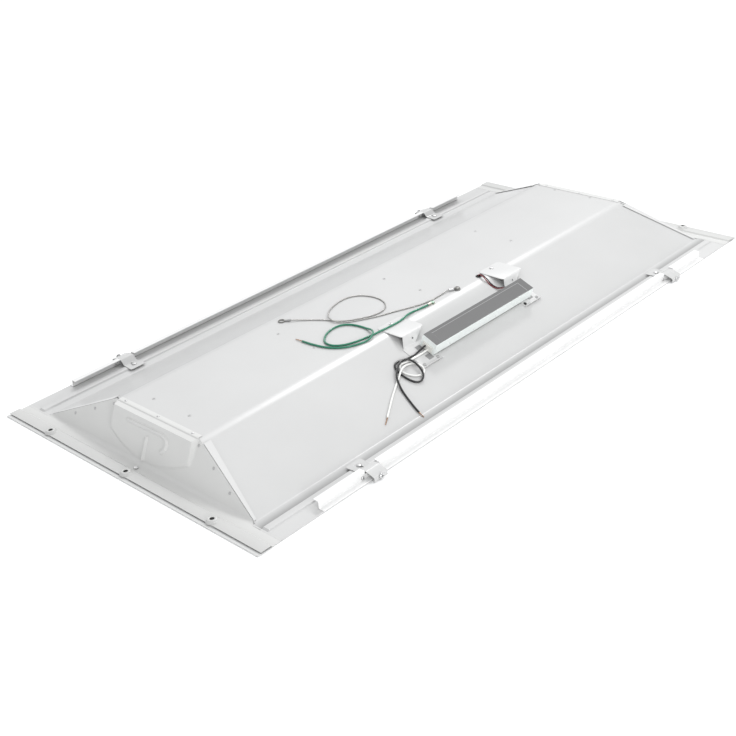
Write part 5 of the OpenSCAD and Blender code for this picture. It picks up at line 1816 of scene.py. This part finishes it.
class TROFFER_OT_plain_nodes(bpy.types.Operator):
    """Give every CAD node the finish of its slot"""
    bl_idname = "troffer.plain_nodes"
    bl_label = "Carried nodes"

    def execute(self, context):
        slots = {part["node"]: part["material_slot"] for part in frame["record"]["subparts"]}
        for node, obj in frame["nodes"].items():
            obj.data.materials.clear()
            obj.data.materials.append(MATERIALS["eye_steel" if slots[node] == "cable_steel" else slots[node]])
        return {"FINISHED"}


# The area lights, as (name, place, size, power), and the sun
AREA_LIGHTS = (
    ("key", (0.7, -0.9, 1.3), (1.2, 0.8), 9),
    ("fill", (-1.1, -2.3, 0.6), (0.5, 0.5), 17),
    ("back", (0.9, 2.2, 1.6), (2.4, 1.0), 9),
)
SUN_FROM = (0.617, 0.3945, 0.682)
SUN_SOFTNESS = math.radians(11)
SUN_STRENGTH = 0.95
SKY = (0.98, 0.99, 1.0, 1)
SKY_STRENGTH = 0.9
FLOOR_DROP = 0.0002
FLOOR_TONES = ((0.95, 0.95, 0.95), (0.97, 0.97, 0.97))


class TROFFER_OT_stage(bpy.types.Operator):
    """Lay the pale floor and set the soft studio lights"""
    bl_idname = "troffer.stage"
    bl_label = "Stage"

    def execute(self, context):
        self.lay_floor(context.scene.troffer_stage.floor)
        world = bpy.data.worlds.new("studio")
        world.use_nodes = True
        sky = world.node_tree.nodes["Background"].inputs
        sky["Color"].default_value = SKY
        sky["Strength"].default_value = SKY_STRENGTH
        context.scene.world = world
        for name, where, size, power in AREA_LIGHTS:
            area = bpy.data.lights.new(name, "AREA")
            area.shape = "RECTANGLE"
            area.size, area.size_y = size
            self.hang(area, where, power)
        sun = bpy.data.lights.new("rim", "SUN")
        sun.angle = SUN_SOFTNESS
        self.hang(sun, SUN_FROM, SUN_STRENGTH)
        context.scene.view_settings.view_transform = "Standard"
        return {"FINISHED"}

    def lay_floor(self, colour):
        """A wide floor just under the fixture."""
        select_nothing()
        bpy.ops.mesh.primitive_plane_add(size=24, location=(0, 0, -FLOOR_DROP))
        floor = named("floor")
        settle(floor)
        mat = new_material("floor", colour, 0.7)
        tint(mat, object_noise(mat, 3), *FLOOR_TONES)
        floor.data.materials.append(mat)

    def hang(self, data, where, power):
        """Hangs a light of the given power at its place, aimed at the fixture's middle."""
        data.energy = power
        light = bpy.data.objects.new(data.name, data)
        bpy.context.scene.collection.objects.link(light)
        light.location = where
        light.rotation_euler = (-Vector(where)).to_track_quat("-Z", "Y").to_euler()


class TROFFER_PT_panel(bpy.types.Panel):
    """Lists the fixture's pieces, sizes and finishes"""
    bl_label = "Troffer Light"
    bl_idname = "TROFFER_PT_panel"
    bl_space_type = "VIEW_3D"
    bl_region_type = "UI"
    bl_category = "Troffer"

    def draw(self, context):
        for operator in OPERATORS:
            self.layout.operator(operator.bl_idname)
        for group in (context.scene.troffer_housing, context.scene.troffer_cords,
                      context.scene.troffer_finish, context.scene.troffer_stage):
            box = self.layout.box()
            for prop in group.__annotations__:
                box.prop(group, prop)


GROUPS = {
    "troffer_housing": TrofferHousing,
    "troffer_cords": TrofferCords,
    "troffer_finish": TrofferFinish,
    "troffer_stage": TrofferStage,
}
OPERATORS = (
    TROFFER_OT_camera,
    TROFFER_OT_cords,
    TROFFER_OT_leads,
    TROFFER_OT_housing,
    TROFFER_OT_end_plates,
    TROFFER_OT_trim,
    TROFFER_OT_rails,
    TROFFER_OT_clips,
    TROFFER_OT_brackets,
    TROFFER_OT_driver,
    TROFFER_OT_lens,
    TROFFER_OT_small_parts,
    TROFFER_OT_plain_nodes,
    TROFFER_OT_stage,
)


def register():
    for cls in (*GROUPS.values(), *OPERATORS, TROFFER_PT_panel):
        bpy.utils.register_class(cls)
    for name, group in GROUPS.items():
        setattr(bpy.types.Scene, name, PointerProperty(type=group))


def unregister():
    for name in GROUPS:
        delattr(bpy.types.Scene, name)
    for cls in reversed((*GROUPS.values(), *OPERATORS, TROFFER_PT_panel)):
        bpy.utils.unregister_class(cls)


def main():
    register()
    make_materials()
    for operator in OPERATORS:
        group, name = operator.bl_idname.split(".")
        getattr(getattr(bpy.ops, group), name)()


if __name__ == "__main__":
    main()
